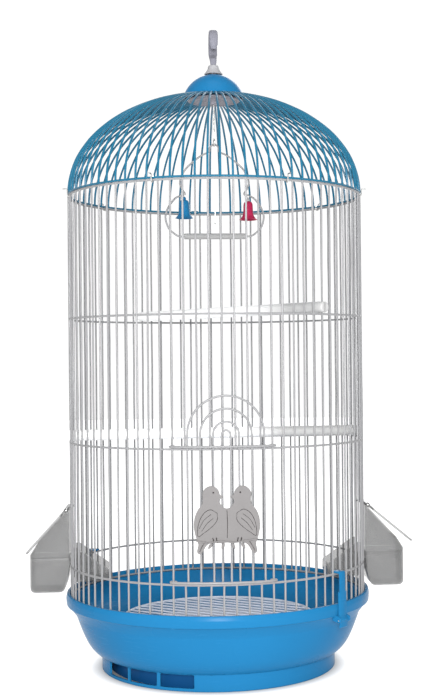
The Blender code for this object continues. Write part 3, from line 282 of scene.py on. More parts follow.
# %% Moulded plastic
def moulded_plastic(name, colour, roughness, clouds_to_metre=9.0):
    plastic = Finish(name, IOR=1.42, Specular_IOR_Level=0.05)
    clouds = plastic.noise(clouds_to_metre, 3.0)
    grain = plastic.noise(1400.0, 2.0)
    scratches = plastic.sharpen(plastic.noise(60.0, 5.0, (1.0, 1.0, 9.0)), 0.60, 0.75)
    colours = plastic.mottled(clouds, colour, 0.93, 1.05)
    plastic.set(Base_Color=plastic.blend(scratches * 0.12, colours, tint(colour, 1.3)))
    plastic.set(Roughness=roughness + (clouds - 0.5) * 0.08 + scratches * 0.10)
    plastic.set(Normal=plastic.bumps(grain, 0.00002, 0.5))
    return plastic.material


TRAY_BLUE = moulded_plastic("blue_tray_plastic", (0.0108, 0.126, 0.2784), 0.27)
# The inner foot's blue is the tray's blue made darker: painted shade for the recess behind the windows.
SHADED_INNER_BLUE = moulded_plastic("inner_foot_plastic", (0.0036, 0.0432, 0.132), 0.35)
BELL_BLUE = moulded_plastic("blue_bell_plastic", (0.0132, 0.12, 0.252), 0.33, 60.0)
BELL_PINK = moulded_plastic("pink_bell_plastic", (0.288, 0.0156, 0.054), 0.33, 60.0)
WHITE_PLASTIC = moulded_plastic("white_plastic", (0.288, 0.288, 0.3), 0.40, 30.0)
HOOK_WHITE = moulded_plastic("hook_plastic", (0.174, 0.174, 0.204), 0.36, 40.0)
PLATE_WHITE = moulded_plastic("plate_plastic", (0.1584, 0.1524, 0.1524), 0.45, 40.0)
PLATE_DARK = moulded_plastic("plate_shadow_paint", (0.030, 0.026, 0.026), 0.50, 40.0)
DISC_GREY = moulded_plastic("disc_plastic", (0.192, 0.186, 0.21), 0.42, 30.0)
PERCH_GREY = moulded_plastic("swing_bar_plastic", (0.252, 0.252, 0.252), 0.45, 40.0)


def perch_plastic():
    """White plastic that is greyer on the right, where the photograph has the perches in shade."""
    plastic = Finish("perch_plastic", Roughness=0.45, Specular_IOR_Level=0.2)
    far = plastic.sharpen(plastic.along("X"), 0.030, 0.075)
    white = plastic.blend(plastic.noise(40.0, 3.0), grey(0.84), grey(0.88))
    plastic.set(Base_Color=plastic.blend(far * 0.8, white, grey(0.24)))
    plastic.set(Normal=plastic.bumps(plastic.noise(900.0, 2.0), 0.00002, 0.5))
    return plastic.material


PERCH_WHITE = perch_plastic()
print("plastics for the tray, cap, bells, hook, plate and perches")


# %% See-through plastic
def clear_plastic(name, colour, thin, edge_on):
    plastic = Finish(name, IOR=1.49, Roughness=0.14, Specular_IOR_Level=0.6)
    facing = plastic.node("LayerWeight", {"Blend": 0.35}, "Facing")
    clouds = plastic.noise(45.0, 3.0)
    plastic.set(Base_Color=plastic.mottled(clouds, colour, 0.92, 1.06))
    plastic.set(Alpha=thin + facing * (edge_on - thin) + (clouds - 0.5) * 0.06)
    plastic.set(Normal=plastic.bumps(plastic.noise(120.0), 0.00010, 0.5))
    return plastic.material


CLEAR = clear_plastic("clear_feeder_plastic", (0.126, 0.126, 0.126), 0.45, 0.88)
print("clear plastic")


# %% Plain steel and the card liner
def plain_steel(name, colour, roughness):
    steel = Finish(name, Metallic=1.0)
    clouds = steel.noise(90.0, 4.0)
    lines = steel.noise(500.0, 2.0, (1.0, 1.0, 0.08))
    steel.set(Base_Color=steel.mottled(clouds, colour, 0.82, 1.05))
    steel.set(Roughness=roughness + (lines - 0.5) * 0.20)
    steel.set(Normal=steel.bumps(lines, 0.00002, 0.5))
    return steel.material


def card(name, colour):
    sheet = Finish(name, Roughness=0.85)
    fibres = sheet.noise(700.0, 6.0, (1.0, 0.35, 1.0))
    stains = sheet.noise(26.0, 4.0)
    colours = sheet.mottled(stains, colour, 0.86, 1.08)
    dark_fibres = sheet.sharpen(fibres, 0.55, 0.72) * 0.35
    sheet.set(Base_Color=sheet.blend(dark_fibres, colours, tint(colour, 0.66)))
    sheet.set(Normal=sheet.bumps(fibres, 0.00008, 0.7))
    return sheet.material


STEEL = plain_steel("plain_steel", (0.58, 0.58, 0.57), 0.36)
CARD = card("liner_card", (0.36, 0.396, 0.48))
print("steel and card")

# %% [markdown]
# ## Helpers that turn drawings into pieces
#
# Most pieces of a cage are turned on a lathe or bent from wire. Two helpers cover both: one
# spins a section round the upright axis, the other sweeps a round section along a list of points.
# A third cuts flat shapes from an outline. Every piece is kept as a plain mesh with its place in
# the mesh, because the pieces ride on bodies whose zero is the cage's own.

# %% Plain meshes
SHARP_ANGLE = radians(32.0)


def keep(name, mesh, finish):
    """Makes an object of a mesh, shaded smooth with its corners left sharp."""
    mesh.materials.clear()
    mesh.materials.append(finish)
    mesh.shade_smooth()
    mesh.set_sharp_from_angle(angle=SHARP_ANGLE)
    return add_object(name, mesh)


def from_bmesh(name, shape, finish):
    bmesh.ops.remove_doubles(shape, verts=shape.verts, dist=0.000002)
    bmesh.ops.recalc_face_normals(shape, faces=shape.faces)
    mesh = bpy.data.meshes.new(name)
    shape.to_mesh(mesh)
    shape.free()
    return keep(name, mesh, finish)


def settle(piece, finish):
    """Replaces a piece by a plain mesh, with its modifiers and its place worked in."""
    name = piece.name
    bpy.context.view_layer.update()
    evaluated = piece.evaluated_get(bpy.context.evaluated_depsgraph_get())
    mesh = bpy.data.meshes.new_from_object(evaluated)
    mesh.transform(piece.matrix_world)
    bpy.data.objects.remove(piece)
    return keep(name, mesh, finish)


def gather(name, pieces):
    """Puts several pieces in one mesh and keeps their finishes."""
    shape = bmesh.new()
    finishes = []
    for piece in pieces:
        before = len(shape.faces)
        shape.from_mesh(piece.data)
        shape.faces.ensure_lookup_table()
        for face in shape.faces[before:]:
            face.material_index += len(finishes)
        finishes += list(piece.data.materials)
        bpy.data.objects.remove(piece)
    mesh = bpy.data.meshes.new(name)
    shape.to_mesh(mesh)
    shape.free()
    unique = list(dict.fromkeys(finishes))
    for face in mesh.polygons:
        face.material_index = unique.index(finishes[face.material_index])
    for finish in unique:
        mesh.materials.append(finish)
    mesh.set_sharp_from_angle(angle=SHARP_ANGLE)
    return add_object(name, mesh)


def seat(piece, body, slot, *nodes):
    """Ties a finished piece to the body that carries it and hides the CAD nodes that it stands for."""
    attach(piece, body)
    if nodes:
        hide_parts(*nodes)
    print(piece.name, len(piece.data.polygons), "faces on", body)


print("mesh helpers ready")


# %% Lathe and wire
def arc(centre, radius, start, end, steps):
    """Points of an arc in a plane, with its angles in degrees."""
    turns = [radians(start + (end - start) * i / steps) for i in range(steps + 1)]
    return [(centre[0] + radius * cos(t), centre[1] + radius * sin(t)) for t in turns]


def flow(corners, steps):
    """The stretch of a flowing line between the two middle ones of four corners."""
    a, b, c, d = corners
    bends = (2 * b, c - a, 2 * a - 5 * b + 4 * c - d, 3 * b - a - 3 * c + d)
    return [0.5 * sum((bend * (i / steps) ** k for k, bend in enumerate(bends[1:], 1)), bends[0])
            for i in range(steps)]


def smooth_line(points, steps):
    """A flowing line through a few points, with so many steps between each two."""
    line = [Vector(point) for point in points]
    line = [2 * line[0] - line[1], *line, 2 * line[-1] - line[-2]]
    stretches = [flow(corners, steps) for corners in zip(line, line[1:], line[2:], line[3:])]
    return [*sum(stretches, []), line[-2]]


def flowing(points, steps=6):
    """A closed flowing outline through a few points."""
    loop = [Vector(point) for point in points]
    loop = [loop[-1], *loop, *loop[:2]]
    return sum([flow(corners, steps) for corners in zip(loop, loop[1:], loop[2:], loop[3:])], [])


def rounded(points, radius, steps=4):
    """A closed outline with rounded corners; a corner's third number is a radius of its own."""
    outline = []
    count = len(points)
    for i in range(count):
        before, corner, after = (Vector(points[(i + k) % count][:2]) for k in (-1, 0, 1))
        inward = before - corner
        outward = after - corner
        wish = points[i][2] if len(points[i]) > 2 else radius
        reach = min(wish, inward.length * 0.48, outward.length * 0.48)
        start = corner + inward.normalized() * reach
        end = corner + outward.normalized() * reach
        for k in range(steps + 1):
            t = k / steps
            outline.append((1 - t) ** 2 * start + 2 * t * (1 - t) * corner + t ** 2 * end)
    return outline


def join_rings(shape, low, high):
    """Faces between two rings of corners; a ring may be one corner many times."""
    for corners in zip(low, low[1:] + low[:1], high[1:] + high[:1], high):
        unlike = list(dict.fromkeys(corners))
        if len(unlike) > 2:
            shape.faces.new(unlike)


def turned(name, section, steps, finish, closed=True):
    """Spins a section of radius and height once round the axis."""
    shape = bmesh.new()
    turns = [2 * pi * i / steps for i in range(steps)]
    rings = []
    for radius, height in section:
        if radius < 0.000001:
            rings.append([shape.verts.new((0.0, 0.0, height))] * steps)
        else:
            rings.append([shape.verts.new((radius * cos(t), radius * sin(t), height)) for t in turns])
    for low, high in zip(rings, rings[1:] + rings[:1] * closed):
        join_rings(shape, low, high)
    return from_bmesh(name, shape, finish)


def skinned(name, places, finish):
    """A tube through rings of places, with closed ends."""
    shape = bmesh.new()
    rings = [[shape.verts.new(place) for place in ring] for ring in places]
    for low, high in zip(rings, rings[1:]):
        join_rings(shape, low, high)
    shape.faces.new(rings[0])
    shape.faces.new(rings[-1])
    return from_bmesh(name, shape, finish)


def drawn(name, loops, cyclic, finish, radii=(), **settings):
    """A curve through lists of points, kept as a plain mesh."""
    curve = bpy.data.curves.new(name, "CURVE")
    for key, value in settings.items():
        setattr(curve, key, value)
    for loop in loops:
        spline = curve.splines.new("POLY")
        spline.points.add(len(loop) - 1)
        for spot, point in zip(spline.points, loop):
            spot.co = (*point, 1.0)
        for spot, radius in zip(spline.points, radii):
            spot.radius = radius
        spline.use_cyclic_u = cyclic
    return settle(add_object(name, curve), finish)


def wire(name, points, radius, finish, sides=4, cyclic=False, radii=()):
    """A round wire along a line, with closed ends."""
    return drawn(name, [points], cyclic, finish, radii, dimensions="3D", bevel_depth=radius,
                 bevel_resolution=sides, use_fill_caps=not cyclic)


def plate(name, outline, thickness, finish, edge=0.0, holes=()):
    """A flat piece from an outline in the XY plane, with softened edges."""
    loops = [[(x, y, 0.0) for x, y in loop] for loop in (outline, *holes)]
    return drawn(name, loops, True, finish, dimensions="2D", fill_mode="BOTH",
                 extrude=thickness / 2 - edge, bevel_depth=edge, bevel_resolution=2, offset=-edge)


def moved(piece, matrix):
    """Works a move into a piece's mesh."""
    piece.data.transform(matrix)
    return piece


def around(azimuth, radius, height=0.0):
    """A point by its azimuth from the front, its distance from the axis and its height."""
    return Vector((radius * sin(azimuth), -radius * cos(azimuth), height))


def both_halves(half):
    """A line and its mirror image in X, as one line."""
    return [Vector((-p.x, p.y, p.z)) for p in reversed(half[1:])] + half


UPRIGHT = spin(pi / 2, "X")
print("lathe and wire ready")

# %% [markdown]
# ## Recipes with Geometry Nodes
#
# The wall's upright wires, the eighty ribs and four hundred and eighty weld spots follow one rule
# each, so Geometry Nodes make them. A small class writes such a tree: sizes are named inputs, the
# tree ends in Realize Instances and Set Material, and the result is kept as a plain mesh.

# %% A class that writes a node tree
class Recipe(NodeWriter):
    """A Geometry Nodes tree with named inputs."""

    def __init__(self, name, **sizes):
        super().__init__(bpy.data.node_groups.new(name, "GeometryNodeTree"), "GeometryNode")
        self.keys = {}
        self.tree.interface.new_socket("Geometry", in_out="OUTPUT", socket_type="NodeSocketGeometry")
        self.add_input("Geometry", "NodeSocketGeometry")
        for label, value in sizes.items():
            kind = "NodeSocketInt" if isinstance(value, int) else "NodeSocketFloat"
            self.add_input(label, kind).default_value = value
        self.add_input("Finish", "NodeSocketMaterial")
        given = self.tree.nodes.new("NodeGroupInput").outputs
        self.given = {label: Signal(self, given[label]) for label in self.keys}

    def add_input(self, label, kind):
        socket = self.tree.interface.new_socket(label, in_out="INPUT", socket_type=kind)
        self.keys[label] = socket.identifier
        return socket

    def combine(self, **sides):
        return self.node("ShaderNodeCombineXYZ", sides)

    def copies(self, points, piece, **more):
        """A copy of a piece on each point."""
        return self.node("InstanceOnPoints", {"Points": points, "Instance": piece, **more})

    def pipe(self, lines, sides, radius):
        """Lines with a round section and closed ends."""
        section = self.node("CurvePrimitiveCircle", {"Resolution": sides, "Radius": radius})
        return self.node("CurveToMesh", {"Curve": lines, "Profile Curve": section, "Fill Caps": True})

    def end(self, geometry):
        """Closes the tree: no instances are left, and the finish is set."""
        real = self.node("RealizeInstances", {0: geometry})
        dressed = self.node("SetMaterial", {0: real, "Material": self.given["Finish"]})
        self.plug(self.tree.nodes.new("NodeGroupOutput").inputs[0], dressed)
        print("recipe:", self.tree.name)
        return self

    def make(self, name, start, finish, **sizes):
        """Runs the recipe on a line of points and keeps the result as a plain mesh."""
        line = bpy.data.meshes.new(name)
        line.from_pydata([tuple(p) for p in start], [(i, i + 1) for i in range(len(start) - 1)], [])
        piece = add_object(name, line)
        grow = piece.modifiers.new("recipe", "NODES")
        grow.node_group = self.tree
        for label, value in {**sizes, "Finish": finish}.items():
            grow[self.keys[label]] = value
        return settle(piece, finish)


ORIGIN = [(0.0, 0.0, 0.0)]
print("recipe class ready")


# %% Recipe: the same bent wire again and again round the axis
BENDS_TO_METRE = 34.0


def write_wires_round():
    recipe = Recipe("wires_round", Count=80, First=0, Step=0.1, Thickness=0.001, Sides=8,
                    Wander=0.0002, Seed=1)
    given = recipe.given
    path = recipe.node("MeshToCurve", {0: given["Geometry"]})
    spots = recipe.node("Points", {"Count": given["Count"]})
    turn = recipe.combine(Z=(recipe.node("InputIndex") + given["First"]) * given["Step"])
    real = recipe.node("RealizeInstances", {0: recipe.copies(spots, path, Rotation=turn)})
    cloud_inputs = {"Vector": recipe.node("InputPosition"), "W": given["Seed"], "Scale": BENDS_TO_METRE}
    cloud = recipe.node("ShaderNodeTexNoise", cloud_inputs, "Color", noise_dimensions="4D")
    centred = recipe.node("ShaderNodeVectorMath", {0: cloud, 1: (0.5, 0.5, 0.5)}, operation="SUBTRACT")
    push = recipe.node("ShaderNodeVectorMath", {0: centred, "Scale": given["Wander"]}, operation="SCALE")
    bent = recipe.node("SetPosition", {0: real, "Offset": push})
    return recipe.end(recipe.pipe(bent, given["Sides"], given["Thickness"]))


WIRES_ROUND = write_wires_round()


# %% Recipe: small drops of weld on a ring
def write_weld_drops():
    recipe = Recipe("weld_drops", Count=80, Radius=0.16, Height=0.1, Size=0.0013)
    given = recipe.given
    circle = recipe.node("MeshCircle", {"Vertices": given["Count"], "Radius": given["Radius"]})
    ring = recipe.node("Transform", {0: circle, "Translation": recipe.combine(Z=given["Height"])})
    drop = recipe.node("MeshIcoSphere", {"Radius": given["Size"], "Subdivisions": 2})
    return recipe.end(recipe.copies(ring, drop, Scale=(1.0, 1.0, 0.85)))


WELD_DROPS = write_weld_drops()


# %% Recipe: straight bars that end on a ring
def write_ring_bars():
    recipe = Recipe("ring_bars", Count=17, Step=0.013, Radius=0.107, Thickness=0.001)
    given = recipe.given
    spots = recipe.node("Points", {"Count": given["Count"]})
    across = (recipe.node("InputIndex") - (given["Count"] - 1.0) * 0.5) * given["Step"]
    square = given["Radius"] * given["Radius"] - across * across
    half = square.maths("SQRT", square, 0.0)
    spread = recipe.node("SetPosition", {0: spots, "Position": recipe.combine(Y=across)})
    bar = recipe.node("CurvePrimitiveLine", {"Start": (-1.0, 0.0, 0.0), "End": (1.0, 0.0, 0.0)})
    bars = recipe.copies(spread, bar, Scale=recipe.combine(X=half, Y=1.0, Z=1.0))
    return recipe.end(recipe.pipe(recipe.node("RealizeInstances", {0: bars}), 10, given["Thickness"]))


RING_BARS = write_ring_bars()

# %% [markdown]
# ## The wire wall
#
# Upright wires are welded to five hoops. The pitch is one eightieth of a turn. Seven wires are cut
# out for the door and three for each feeder, and a short rail closes the top of a feeder's opening.
# Bent wire is never quite straight, so the recipe lets each wire wander by a fraction of a
# millimetre. Pieces that touch keep a gap of 0.3 mm, as in the CAD model.

# %% Sizes of the wall, taken from the frame
wall_low, wall_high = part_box("cage_wall")
WIRE = 0.00105
HOOP_WIRE = WIRE * 1.08
WELD = WIRE * 1.32
GAP = 0.0003
RING = wall_high.x - WIRE
PITCHES = 80
PITCH = 2 * pi / PITCHES
FOOT_HOOP = wall_low.z + WIRE
LATCH_HOOP = 0.116
TOP_HOOP = wall_high.z - WIRE
HOOP_STEP = (TOP_HOOP - LATCH_HOOP) / 3
DOOR_HOOP = LATCH_HOOP + HOOP_STEP
PERCH_HOOP = DOOR_HOOP + HOOP_STEP
HOOPS = (FOOT_HOOP, LATCH_HOOP, DOOR_HOOP, PERCH_HOOP, TOP_HOOP)
FEEDER_RAIL = LATCH_HOOP + 0.062
DOOR_HALF = 4
FEEDER_HALF = 2
RIGHT_FEEDER = PITCHES // 4
LEFT_FEEDER = PITCHES - RIGHT_FEEDER
print("wall radius", round(RING, 4), "and hoops at", [round(hoop, 4) for hoop in HOOPS])


# %% Upright wires
def upright_path(low, high, steps=14):
    return [around(0.0, RING, low + (high - low) * i / steps) for i in range(steps + 1)]


def wire_run(name, first, last, low, high):
    """Wires from the first pitch to the last, both with one."""
    return WIRES_ROUND.make(name, upright_path(low, high), WHITE_PAINT, Count=last - first + 1,
                            First=first, Step=PITCH, Thickness=WIRE, Sides=10, Wander=0.0011, Seed=3)


def wall_wires():
    door = DOOR_HALF - 1
    feeder = FEEDER_HALF - 1
    runs = [(DOOR_HALF, RIGHT_FEEDER - FEEDER_HALF, FOOT_HOOP, TOP_HOOP),
            (RIGHT_FEEDER + FEEDER_HALF, LEFT_FEEDER - FEEDER_HALF, FOOT_HOOP, TOP_HOOP),
            (LEFT_FEEDER + FEEDER_HALF, PITCHES - DOOR_HALF, FOOT_HOOP, TOP_HOOP),
            (-door, door, FOOT_HOOP, LATCH_HOOP), (-door, door, DOOR_HOOP, TOP_HOOP)]
    for centre in (RIGHT_FEEDER, LEFT_FEEDER):
        runs += [(centre - feeder, centre + feeder, FOOT_HOOP, LATCH_HOOP),
                 (centre - feeder, centre + feeder, FEEDER_RAIL, TOP_HOOP)]
    return [wire_run("wall_wires_%d" % i, *run) for i, run in enumerate(runs)]


parts = wall_wires()
print(len(parts), "runs of upright wires")


# %% Hoops, rails and welds
def ring_line(radius, height, start=0.0, end=2 * pi, steps=240):
    return [around(start + (end - start) * i / steps, radius, height) for i in range(steps)]


def hoop(name, height, finish=WHITE_PAINT, radius=RING):
    return wire(name, ring_line(radius, height), HOOP_WIRE, finish, 3, True)


def feeder_rail(name, centre):
    reach = (FEEDER_HALF + 0.12) * PITCH
    line = ring_line(RING, FEEDER_RAIL, centre * PITCH - reach, centre * PITCH + reach, 24)
    return wire(name, line, WIRE, WHITE_PAINT, 3)


def welds(name, height, finish, size):
    return WELD_DROPS.make(name, ORIGIN, finish, Count=PITCHES, Radius=RING, Height=height, Size=size)


parts += [hoop("hoop_%d" % i, height) for i, height in enumerate(HOOPS)]
parts += [feeder_rail("right_rail", RIGHT_FEEDER), feeder_rail("left_rail", LEFT_FEEDER)]
parts += [welds("welds_%d" % i, height, WHITE_PAINT, WELD) for i, height in enumerate(HOOPS)]
seat(gather("wire_wall", parts), "cage", "white_painted_wire", "cage_wall")

# %% [markdown]
# ## The dome
#
# The ribs are the same bent wire eighty times, from a large ring that lies on the wall's top hoop
# to a small ring under the cap. Their curve is a little fuller than a quarter of an ellipse. In the
# photograph the small ring lies a few millimetres lower than in the CAD model, and so it does here.

# %% Ribs and rings
dome_low, dome_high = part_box("dome_frame")
DOME_RING = dome_low.z + WIRE
EYE_DROP = 0.0053
DOME_EYE = dome_high.z - WIRE - EYE_DROP
EYE_RADIUS = 0.0332
FULLNESS = 2.06
RIB_WIRE = WIRE * 1.15
DOME_WELD = WIRE * 1.3


def rib_point(t):
    """A point of the rib in front, for t from 0 at the ring to 1 at the eye."""
    inner = (EYE_RADIUS / RING) ** FULLNESS
    whole = atan2(sqrt(1 - inner), sqrt(inner))
    rise = sin(t * whole) ** (2 / FULLNESS) / sin(whole) ** (2 / FULLNESS)
    return around(0.0, RING * cos(t * whole) ** (2 / FULLNESS), DOME_RING + (DOME_EYE - DOME_RING) * rise)


rib = [rib_point(i / 26) for i in range(27)]
ribs = WIRES_ROUND.make("dome_ribs", rib, DOME_PAINT, Count=PITCHES, First=0, Step=PITCH,
                        Thickness=RIB_WIRE, Sides=8, Wander=0.0007, Seed=8)
dome = [ribs, hoop("dome_ring", DOME_RING, DOME_PAINT), hoop("dome_eye", DOME_EYE, DOME_PAINT, EYE_RADIUS)]
dome.append(welds("dome_welds", DOME_RING, DOME_PAINT, DOME_WELD))
seat(gather("blue_dome", dome), "cage", "blue_painted_wire", "dome_frame")

# %% [markdown]
# ## The cap, the disc, the collar and the hook
#
# The cap is a thin blue moulding with a rolled foot. A grey disc screws up against it from inside
# and clamps the ribs' small ring. A flared collar guides the hook, which turns freely: it is a
# moulded crook, wide across and slimmer where it meets the collar. Cap, disc and collar sit as low
# as the photograph shows them, which is a little lower than in the CAD model.

# %% Cap and disc
cap_low, cap_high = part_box("cap")
CAP_RADIUS = cap_high.x
CAP_DROP = 0.0060
CAP_EASE = 0.0012
CAP_FOOT = cap_low.z - CAP_DROP
CAP_RISE = cap_high.z - CAP_EASE - CAP_FOOT
CAP_WALL = 0.0018
STEM_HOLE = 0.0038
DISC_SHARE = 0.93
DISC_TOP_DROP = 0.0055
DISC_FOOT_DROP = 0.0040
COLLAR_DROP = 0.0012


def dome_line(radius, foot, rise, steps):
    """The outside of a shallow cap from its foot to the hole in its top."""
    sphere = (radius ** 2 + rise ** 2) / (2 * rise)
    centre = foot + rise - sphere
    start = atan2(foot - centre, radius)
    end = pi / 2 - STEM_HOLE / sphere
    turns = [start + (end - start) * i / steps for i in range(steps + 1)]
    return [(sphere * cos(t), centre + sphere * sin(t)) for t in turns]


def make_cap():
    outside = dome_line(CAP_RADIUS, CAP_FOOT, CAP_RISE, 24)
    inside = dome_line(CAP_RADIUS - CAP_WALL, CAP_FOOT, CAP_RISE - CAP_WALL, 24)
    lip = [(CAP_RADIUS - CAP_WALL, CAP_FOOT), (CAP_RADIUS - CAP_WALL * 0.5, CAP_FOOT - 0.0001)]
    bead = [(CAP_RADIUS - 0.0001, CAP_FOOT + 0.0004)]
    return turned("blue_cap", lip + bead + outside[1:] + list(reversed(inside)), 128, TRAY_BLUE)


def make_disc():
    low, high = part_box("hub_disc")
    radius = high.x * DISC_SHARE
    top = high.z - DISC_TOP_DROP
    foot = low.z - DISC_FOOT_DROP
    face = foot + 0.0042
    edge = 0.0009
    section = [(0.0, top), (radius - edge, top), (radius, top - edge), (radius, face + edge),
               (radius - edge, face), (radius - 0.0035, face), (radius - 0.0042, face + 0.0007),
               (radius - 0.0062, face + 0.0007), (radius - 0.0069, face), (0.0115, face),
               (0.0108, face - 0.0008), (0.0066, face - 0.0008), (0.0054, foot + 0.0006),
               (0.0048, foot), (0.0, foot)]
    return turned("grey_disc", section, 96, DISC_GREY)


seat(make_cap(), "cage", "blue_plastic", "cap")
seat(make_disc(), "cage", "grey_plastic", "hub_disc")


# %% Collar
def make_collar():
    low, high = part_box("hook_collar")
    radius = high.x
    foot = low.z - COLLAR_DROP
    flare = smooth_line([(radius, foot + 0.0016), (radius - 0.0016, foot + 0.0036),
                         (0.0069, foot + 0.0066), (0.0058, high.z - 0.0006)], 6)
    section = [(STEM_HOLE, high.z), (0.0052, high.z), *reversed(flare),
               (radius - 0.0006, foot + 0.0010), (STEM_HOLE, foot + 0.0022)]
    return turned("white_collar", section, 64, WHITE_PLASTIC)


seat(make_collar(), "cage", "white_plastic", "hook_collar")

# %% Hook
hook_low, hook_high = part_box("hanging_hook")
HOOK_THICK = 0.0056
HOOK_RADIUS = 0.0145
HOOK_CENTRE = hook_high.z - HOOK_RADIUS - HOOK_THICK / 2
HOOK_FOOT = 0.6764
HOOK_WIDE = 0.0100
HOOK_SLIM = 0.0062
HOOK_SIDES = 20


def hook_line():
    """The crook's middle line as y and z, from the collar up and round to the tip."""
    start = [(0.0, HOOK_FOOT), (0.0, HOOK_FOOT + 0.0030), (0.0006, HOOK_FOOT + 0.0060)]
    return start + arc((0.0, HOOK_CENTRE), HOOK_RADIUS, -62, 206, 34)


def hook_width(t):
    """Slim at the collar, full over the crook, and a little slimmer at the tip."""
    fullness = min(1.0, t * 5.5) ** 0.7 * (1 - 1.25 * max(0.0, t - 0.8))
    return HOOK_SLIM + (HOOK_WIDE - HOOK_SLIM) * fullness


def squarish(size, wave):
    """A rounded square's reach on one side, where the wave is a cosine or a sine."""
    return size / 2 * abs(wave) ** 0.75 * (1 if wave > 0 else -1)


def make_hook():
    """Rings of a rounded section along the crook."""
    line = [Vector((0.0, y, z)) for y, z in hook_line()]
    last = len(line) - 1
    rings = []
    for i, point in enumerate(line):
        ahead = (line[min(i + 1, last)] - line[max(i - 1, 0)]).normalized()
        normal = Vector((0.0, -ahead.z, ahead.y))
        tip = 1.0 if i / last < 0.96 else 0.72
        ring = []
        for turn in (2 * pi * k / HOOK_SIDES for k in range(HOOK_SIDES)):
            wide = tip * squarish(hook_width(i / last), cos(turn))
            thick = tip * squarish(HOOK_THICK, sin(turn))
            ring.append(point + Vector((wide, 0.0, 0.0)) + normal * thick)
        rings.append(ring)
    return skinned("hook_crook", rings, HOOK_WHITE)


def make_stem():
    top = HOOK_FOOT + 0.0020
    low = hook_low.z
    section = [(0.0, top), (0.0032, top), (0.0032, low + 0.0026), (0.0072, low + 0.0024),
               (0.0072, low + 0.0004), (0.0068, low), (0.0, low)]
    return turned("hook_stem", section, 32, HOOK_WHITE)


seat(gather("white_hook", [make_hook(), make_stem()]), "hook", "white_plastic", "hanging_hook")

# %% [markdown]
# ## The tray
#
# One deep moulding, turned on a lathe here: a flat floor, a rounded bowl, a ledge that the wall
# stands on, a rim with a flange, and a foot. Three windows are cut in the foot on the front left,
# and a ring inside the foot, in a darker blue that is painted shade, is what shows behind them.
# The section is written once as radius and height, and its corners are rounded a little, because
# no moulding has sharp ones.

# %% Section of the tray
RIM_RADIUS = 0.1700
RIM_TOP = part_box("tray")[1].z
TRAY_WALL = 0.0022
TRAY_FLOOR = 0.0450
FLOOR_RADIUS = 0.1140
LEDGE = FOOT_HOOP - WIRE - GAP
LEDGE_RADIUS = RING - 0.0046
RIM_INSIDE = RING + WIRE + 0.0008
NECK_RADIUS = 0.1600
NECK_HEIGHT = 0.0620
FOOT_RADIUS = 0.1308
FOOT_HEIGHT = 0.0185
INNER_FOOT_RADIUS = FOOT_RADIUS - 0.0100
FLANGE = RIM_TOP - 0.0125
BOWL = ((0.1591, 0.0620), (0.1563, 0.0540), (0.1533, 0.0460), (0.1499, 0.0380), (0.1460, 0.0305),
        (0.1415, 0.0245), (0.1368, 0.0202), (0.1345, 0.0190), (0.1322, 0.0188))


def bowl_line(steps, inset=0.0, lift=0.0):
    """The bowl's outside from its neck down to its foot."""
    return smooth_line([(radius - inset, height + lift) for radius, height in BOWL], steps)


def basin_line(steps):
    """The basin's inside from the floor's edge up to the neck."""
    reach = NECK_RADIUS - TRAY_WALL - FLOOR_RADIUS
    rise = NECK_HEIGHT + 0.004 - TRAY_FLOOR
    turns = [pi / 2 * i / steps for i in range(1, steps + 1)]
    return [(FLOOR_RADIUS + reach * sin(t), TRAY_FLOOR + rise * (1 - cos(t))) for t in turns]


def tray_section():
    inside = [(0.0, TRAY_FLOOR), (FLOOR_RADIUS * 0.5, TRAY_FLOOR), (FLOOR_RADIUS, TRAY_FLOOR)]
    rim = rounded([(LEDGE_RADIUS, LEDGE - 0.006), (LEDGE_RADIUS, LEDGE), (RIM_INSIDE, LEDGE),
                   (RIM_INSIDE, RIM_TOP), (RIM_RADIUS - 0.0012, RIM_TOP), (RIM_RADIUS, RIM_TOP - 0.0050),
                   (RIM_RADIUS - 0.0006, FLANGE), (RIM_RADIUS - 0.0030, FLANGE - 0.0010),
                   (NECK_RADIUS + 0.0006, NECK_HEIGHT + 0.0020)], 0.0008, 3)[3:-4]
    foot_inside = FOOT_RADIUS - TRAY_WALL
    foot = [(FOOT_RADIUS, FOOT_HEIGHT - 0.0004), (FOOT_RADIUS, 0.0008), (FOOT_RADIUS - 0.0008, 0.0),
            (foot_inside + 0.0006, 0.0), (foot_inside, 0.0006), (foot_inside, FOOT_HEIGHT - 0.0010)]
    skirt = bowl_line(2, TRAY_WALL, 0.0006)[-4:0:-1]
    below = TRAY_FLOOR - TRAY_WALL
    under = [(FLOOR_RADIUS + 0.030, below + 0.006), (FLOOR_RADIUS + 0.006, below), (0.0, below)]
    return [*inside, *basin_line(14), *rim, *bowl_line(3), *foot, *skirt, *under]


print(len(tray_section()), "points in the tray's section")


# %% The moulding and its windows
WINDOW_AZIMUTHS = (-21.7, -40.1, -58.0)
WINDOW_SPAN = 16.4
WINDOW_SILL = 0.0035
WINDOW_RISE = 0.0140
WINDOW_RING = 0.1320


def window_cutter(azimuth):
    """A block with rounded corners that goes through the foot's wall."""
    half = WINDOW_RING * radians(WINDOW_SPAN) / 2
    top = WINDOW_SILL + WINDOW_RISE
    corners = [(-half, WINDOW_SILL), (half, WINDOW_SILL), (half, top), (-half, top)]
    block = plate("window_cutter", rounded(corners, 0.0012, 3), 0.050, TRAY_BLUE)
    return moved(block, spin(radians(azimuth)) @ shift(y=-WINDOW_RING) @ UPRIGHT)


def cut_out(piece, cutters):
    """The piece without the space that the cutters fill."""
    for cutter in cutters:
        cut = piece.modifiers.new("cut", "BOOLEAN")
        cut.object = cutter
        cut.solver = "EXACT"
        bpy.context.view_layer.update()
    cleaned = settle(piece, piece.data.materials[0])
    for cutter in cutters:
        bpy.data.objects.remove(cutter)
    return cleaned


